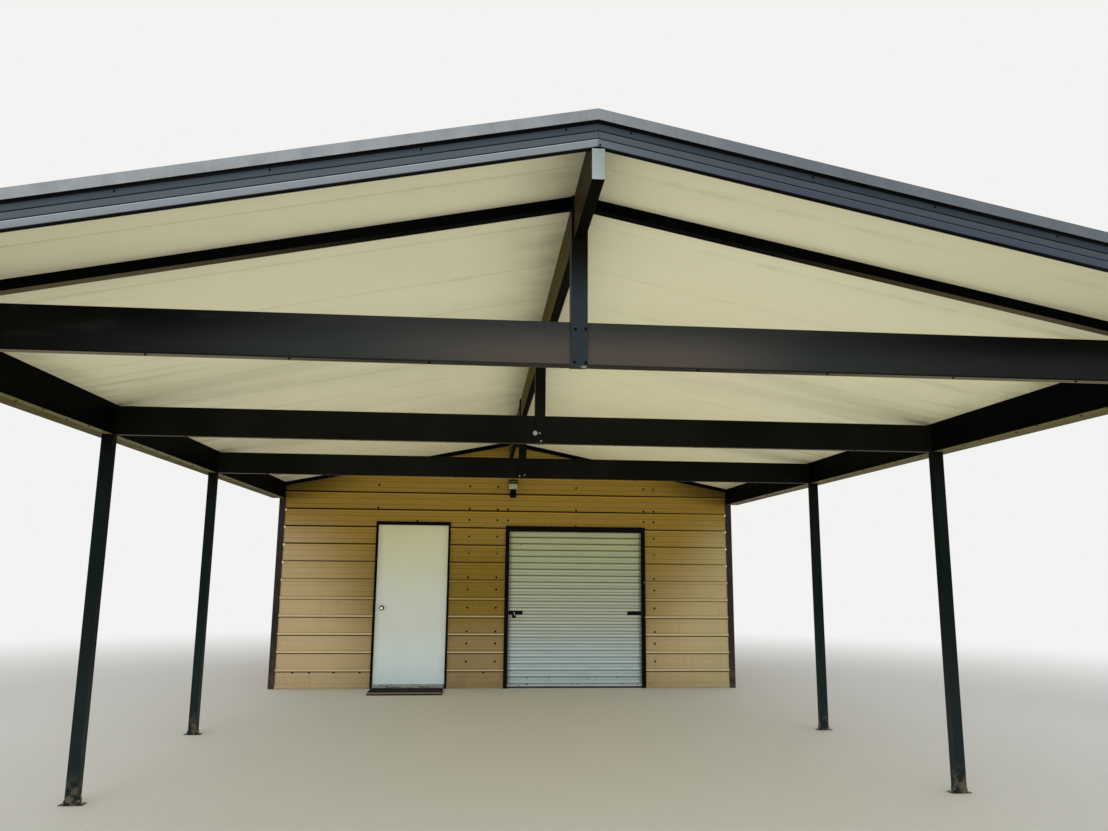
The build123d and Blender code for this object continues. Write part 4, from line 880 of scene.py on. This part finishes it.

# Roll-up door. A curtain of off-white corrugated steel between brown guides. Painted shade lines the flanks
# of its corrugations and darkens it beside the guides, and painted light tints it yellow-green towards the
# top and bluish towards the floor. A rubber foot closes it against the floor.
CROWN_START, CURTAIN_PITCH, CROWN_HIGH = 0.056, 0.0845, 0.0455
shutter_paint, tree, shader = start_finish("off-white enamel on corrugated steel, roll-formed", "#a9b19d",
                                           0.45)
lay_over(shader, "#a3a673", reach(tree, "Z", 0.9, 2.1), 0.85)
lay_over(shader, "#b0c4cc", reach(tree, "Z", 1.0, 0.2), 0.85)
# Painted shade lines the flanks of the corrugations.
lower_flanks = every(tree, "Z", CROWN_START, CURTAIN_PITCH, 0.006, 0.010)
upper_flanks = every(tree, "Z", CROWN_START + CROWN_HIGH, CURTAIN_PITCH, 0.006, 0.010)
lay_over(shader, "#474b42", lower_flanks, reach(tree, "Z", 2.2, 0.6), 0.75)
lay_over(shader, "#3c3d26", upper_flanks, reach(tree, "Z", 0.1, 1.6), 0.85)
lay_over(shader, "#474b42", upper_flanks, reach(tree, "Z", 1.2, 0.3), 0.3)
lay_over(shader, "#8d8f83", blotches(tree, 90, 0.5, 0.75, (0.3, 1, 1)), 0.3)
# Painted shadow darkens the curtain beside the guides.
by_guides = add_node(tree, "Math", {"operation": "MAXIMUM"},
                     {0: reach(tree, "X", 0.055, -0.005), 1: reach(tree, "X", 1.735, 1.795)})
lay_over(shader, "#50524a", by_guides.outputs[0], 0.75)
lay_over(shader, "#33342d", specks(tree, 160, 2.2), 0.5)
uneven_gloss(shader, 250, 0.4, 0.56)
dress(["shutter_curtain", "shutter_coil"], shutter_paint)
# The bar is a cool grey with a paler line along it, over the black of its rubber foot.
bottom_bar, tree, shader = start_finish("grey aluminium bottom bar over black rubber, extruded",
                                        "#9fabae", 0.5)
lay_over(shader, "#7b8384", blotches(tree, 60, 0.45, 0.7, (0.3, 1, 1)), 0.5)
lay_over(shader, "#cfd6d6", every(tree, "Z", 0.032, 1.0, 0.003, 0.003), 0.8)
lay_over(shader, "#0b0b0a", reach(tree, "Z", 0.0235, 0.0215))
dress(["shutter_bottom_bar"], bottom_bar)
curtain_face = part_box("shutter_curtain")[0].y
rivets = [(0.268, 0.131), (0.558, 0.133), (1.0643, 0.136), (1.1765, 0.134), (1.4536, 0.134),
          (0.0455, 0.049), (0.1535, 0.030), (0.2464, 0.050), (0.2648, 0.050), (0.8624, 0.047),
          (0.9275, 0.049), (1.7324, 0.045), (0.1594, 1.865), (1.6388, 1.868)]
rivet_places = [facing((x, curtain_face - 0.0005, z), (0, -1, 0), x) for x, z in rivets]
finish(repeat("curtain_rivets", stitch, rivet_places), screw_rubber, "shutter_paint")
guide_screws = [facing((x, shutter_low.y, z), (0, -1, 0)) for x, z in ((1.830, 1.375), (1.835, 0.91))]
finish(repeat("guide_screws", stitch, guide_screws), zinc, "hardware_steel")
# Dipped iron is a matt black, a little greyer in worn spots.
black_iron, tree, shader = start_finish("black enamel on latch iron, dipped", "#070806", 0.5,
                                        specular=0.05)
lay_over(shader, "#1a1918", blotches(tree, 18, 0.55, 0.7), 0.4)
dress(["shutter_latches"], black_iron)

# Padlock. A black cased lock hangs in front of the left latch; its steel shackle, an oval loop seen
# edge-on, leans a little and passes through the plate.
latch_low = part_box("shutter_latches")[0]
SHACKLE_LEAN = 0.31
case = block("padlock_case", (0.0495, latch_low.y - 0.018, latch_low.z - 0.0405),
             (0.1005, latch_low.y - 0.001, latch_low.z + 0.006))
inset(case, lambda centre, normal: normal.y < -0.9, 0.004, 0.001)
finish(soften(case, 0.003), black_iron, "black_iron")
bpy.ops.object.select_all(action="DESELECT")
bpy.ops.mesh.primitive_torus_add(location=(0.0800, latch_low.y - 0.0045, latch_low.z + 0.0105),
                                 rotation=(0, math.pi / 2 - SHACKLE_LEAN, 0), major_radius=0.0165,
                                 minor_radius=0.0035, major_segments=24, minor_segments=8)
shackle = bpy.context.object
shackle.name = "padlock_shackle"
shackle.scale = (1.55, 1, 1)
bpy.ops.object.transform_apply(location=True, rotation=True, scale=True)
# Chrome makes the shackle the brightest thing on the roll-up door, a little tarnished in spots.
bright, tree, shader = start_finish("chrome plated shackle, polished", "#e6e7e8", 0.3, 0.2)
lay_over(shader, "#8b8c8c", blotches(tree, 8, 0.5, 0.7), 0.5)
finish(rounded(shackle), bright, "hardware_steel")

# Wall lantern. A cast housing in black enamel: a tray and bulging foot below the ribbed glass, and a
# deep-sided cap over it, pressed from sheet, that is brown between its dark rims.
glass_low, glass_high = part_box("wall_lamp_glass")
CAP_LOW, CAP_TOP, CAP_RADIUS = glass_high.z - 0.013, glass_high.z + 0.040, 0.0635
lamp_paint, tree, shader = start_finish("black enamel on cast lamp housing, sprayed", "#060408", 0.5,
                                        specular=0.05)
brown_band = times(tree, reach(tree, "Z", CAP_LOW + 0.020, CAP_LOW + 0.025),
              reach(tree, "Z", CAP_TOP - 0.016, CAP_TOP - 0.020))
lay_over(shader, "#7d6d40", brown_band, 0.85)
lay_over(shader, "#141210", blotches(tree, 14, 0.5, 0.72), 0.3)
uneven_gloss(shader, 20, 0.4, 0.6)
dress(["wall_lamp_body"], lamp_paint)
middle = (glass_low + glass_high) / 2
cap = drum(32, CAP_RADIUS, CAP_TOP - CAP_LOW, (middle.x, middle.y, (CAP_LOW + CAP_TOP) / 2))
inset(cap, lambda centre, normal: normal.z > 0.9, 0.007, 0.004)
inset(cap, lambda centre, normal: normal.z < -0.9, 0.006, -0.012)
finish(soften(join("lamp_cap_skirt", [cap]), 0.0012), lamp_paint, "lamp_black")
# Pressed glass looks milky and greenish, lined by its ribs; painted shade dulls its top and foot, and
# painted highlights pale both ends.
glass, tree, shader = start_finish("ribbed lamp glass, pressed", "#bfc7a0", 0.35, specular=0.2)
lay_over(shader, "#8b8a68", reach(tree, "Z", glass_high.z - 0.035, glass_high.z - 0.015), 0.6)
lay_over(shader, "#87886a", reach(tree, "Z", glass_low.z + 0.020, glass_low.z), 0.5)
ends = add_node(tree, "Math", {"operation": "MAXIMUM"},
                {0: reach(tree, "X", middle.x - 0.034, middle.x - 0.044),
                 1: reach(tree, "X", middle.x + 0.034, middle.x + 0.044)})
lay_over(shader, "#f3e6bd", ends.outputs[0], 0.8)
lay_over(shader, "#5f5c42", every(tree, "Z", glass_low.z, 0.018, 0.005, 0.004), 0.35)
shader.inputs["Transmission Weight"].default_value = 0.25
dress(["wall_lamp_glass"], glass)

# Step. A thick stained board on the floor under the door, its front edge worn back to grey grain, with a
# painted shadow dark along the bottom of that edge.
step_board, tree, shader = start_finish("stained step board, sawn", "#0e0906", 0.85, specular=0.1)
patches = times(tree, blotches(tree, 110, 0.42, 0.58, (0.3, 1, 1)), reach(tree, "X", -1.6, -1.0))
lay_over(shader, "#3a1a14", patches, 0.8)
lay_over(shader, "#30261c", blotches(tree, 12, 0.55, 0.7, (0.08, 1, 1), 2.0), 0.4)
# Pale dust and grit lie along the back of the board, blown against the sill.
dust = times(tree, reach(tree, "Y", door_low.y - 0.19, door_low.y - 0.16),
             blotches(tree, 70, 0.60, 0.52, (0.4, 1, 1), 6.0))
lay_over(shader, "#a4a9a3", dust, 0.95)
front_edge = turned(tree, "Y", -0.5, -0.9)
lay_over(shader, "#8d816c", front_edge, 0.9)
lay_over(shader, "#a39781", front_edge, blotches(tree, 16, 0.5, 0.65), 0.7)
# Painted shadow along the bottom of the front edge.
lay_over(shader, "#0b0905", front_edge, reach(tree, "Z", 0.019, 0.014))
# Sawn grain is a millimetre or two wide; it is drawn 10 mm wide so that it shows.
relief(shader, 1.2, 10, (0.05, 1, 1), low=0.3, high=0.7)
dress(["door_step"], step_board)

# Studio. Camera, floor and lamps come last and aren't part of the building. The camera stands where the
# photograph was taken, and the floor is plain and pale.
LENS_MM = 27.975
CAMERA_PLACE = (-0.4395, -9.273, 1.533)
YAW, PITCH, ROLL = 0.0872, 0.1773, 0.0088
forward = Vector((math.sin(YAW) * math.cos(PITCH), math.cos(YAW) * math.cos(PITCH), math.sin(PITCH)))
level = Vector((math.cos(YAW), -math.sin(YAW), 0))
upright = level.cross(forward)
right = level * math.cos(ROLL) + upright * math.sin(ROLL)
up = upright * math.cos(ROLL) - level * math.sin(ROLL)
camera = bpy.data.objects.new("camera", bpy.data.cameras.new("camera"))
bpy.context.collection.objects.link(camera)
camera.matrix_world = Matrix.Translation(CAMERA_PLACE) @ Matrix(
    (right, up, -forward)).transposed().to_4x4()
camera.data.lens = LENS_MM
camera.data.sensor_width = 36
camera.data.sensor_fit = "HORIZONTAL"
camera.data.clip_end = 500
bpy.context.scene.camera = camera
bpy.context.scene.view_settings.view_transform = "Standard"

FLOOR_SIZE, FLOOR_GAP = 160, 0.0005
bpy.ops.object.select_all(action="DESELECT")
bpy.ops.mesh.primitive_plane_add(size=FLOOR_SIZE, location=(0, 0, -FLOOR_GAP))
floor = bpy.context.object
floor.name = "studio_floor"
BACKGROUND = "#f3f3f1"
FADE_START, FADE_END = 6.2, 15.0


def seen_by_rays(tree):
    """1 for what the eye meets straight on, in a gloss or through glass, and 0 for the light."""
    path = add_node(tree, "LightPath")
    shown = path.outputs["Is Camera Ray"]
    for ray in ("Is Glossy Ray", "Is Transmission Ray"):
        shown = add_node(tree, "Math", {"operation": "MAXIMUM"},
                         {0: shown, 1: path.outputs[ray]}).outputs[0]
    return shown


# Rolled matt paint has next to no gloss, and takes a soft shadow of the building.
floor_finish, tree, shader = start_finish("matt studio floor paint, rolled", "#dcdad3", 0.9)
# Far from the building the floor fades into the background colour, so that no horizon shows.
far_off = add_node(tree, "VectorMath", {"operation": "LENGTH"},
                   {0: add_node(tree, "TexCoord").outputs["Object"]})
fading = add_node(tree, "MapRange",
                  {"interpolation_type": "SMOOTHSTEP", "From Min": FADE_START, "From Max": FADE_END},
                  {"Value": far_off.outputs["Value"]})
background = add_node(tree, "Emission", {"Color": colour(BACKGROUND), "Strength": 1.0})
floor_mix = add_node(tree, "MixShader", None,
                     {0: times(tree, fading.outputs[0], seen_by_rays(tree)), 1: shader.outputs[0],
                      2: background.outputs[0]})
tree.links.new(floor_mix.outputs[0], tree.nodes["Material Output"].inputs["Surface"])
floor.data.materials.append(floor_finish)

world = bpy.data.worlds.new("studio")
bpy.context.scene.world = world
world.use_nodes = True
tree = world.node_tree
tree.nodes.clear()
seen = add_node(tree, "Background", {"Color": colour(BACKGROUND), "Strength": 1.0})
light = add_node(tree, "Background", {"Color": colour("#f4f6fa"), "Strength": 0.75})
blend = add_node(tree, "MixShader", None,
                 {0: seen_by_rays(tree), 1: light.outputs[0], 2: seen.outputs[0]})
add_node(tree, "OutputWorld", None, {"Surface": blend.outputs[0]})


def soft_light(name, place, aim, size, power):
    """A wide studio lamp that looks at a point."""
    lamp = bpy.data.lights.new(name, "AREA")
    lamp.shape = "RECTANGLE"
    lamp.size, lamp.size_y = size
    lamp.energy = power
    holder = bpy.data.objects.new(name, lamp)
    bpy.context.collection.objects.link(holder)
    holder.location = place
    holder.rotation_euler = (Vector(aim) - Vector(place)).to_track_quat("-Z", "Z").to_euler()
    holder.visible_camera = False


soft_light("key", (-7, -15, 9), (0, -1, 1.5), (9, 7), 350)
soft_light("front_fill", (1.5, -17, 2.6), (0, 0, 1.6), (14, 4), 450)
soft_light("low_front", (0, -11, 1.0), (0, -7, 4.8), (9, 1.2), 72)
soft_light("under_roof", (0, -1.7, 0.02), (0, -1.7, 3), (5.4, 7.6), 60)
for side in (-1, 1):
    soft_light("low_side", (side * 8.9, -2.0, 1.15), (side * 6.9, -1.7, 5.45), (4.2, 1.2), 123)

# The screws, bolts and rib that were copied have done their work and are taken away.
for pattern in (bolt, stitch, washer, rib, siding_screw):
    bpy.data.objects.remove(pattern)
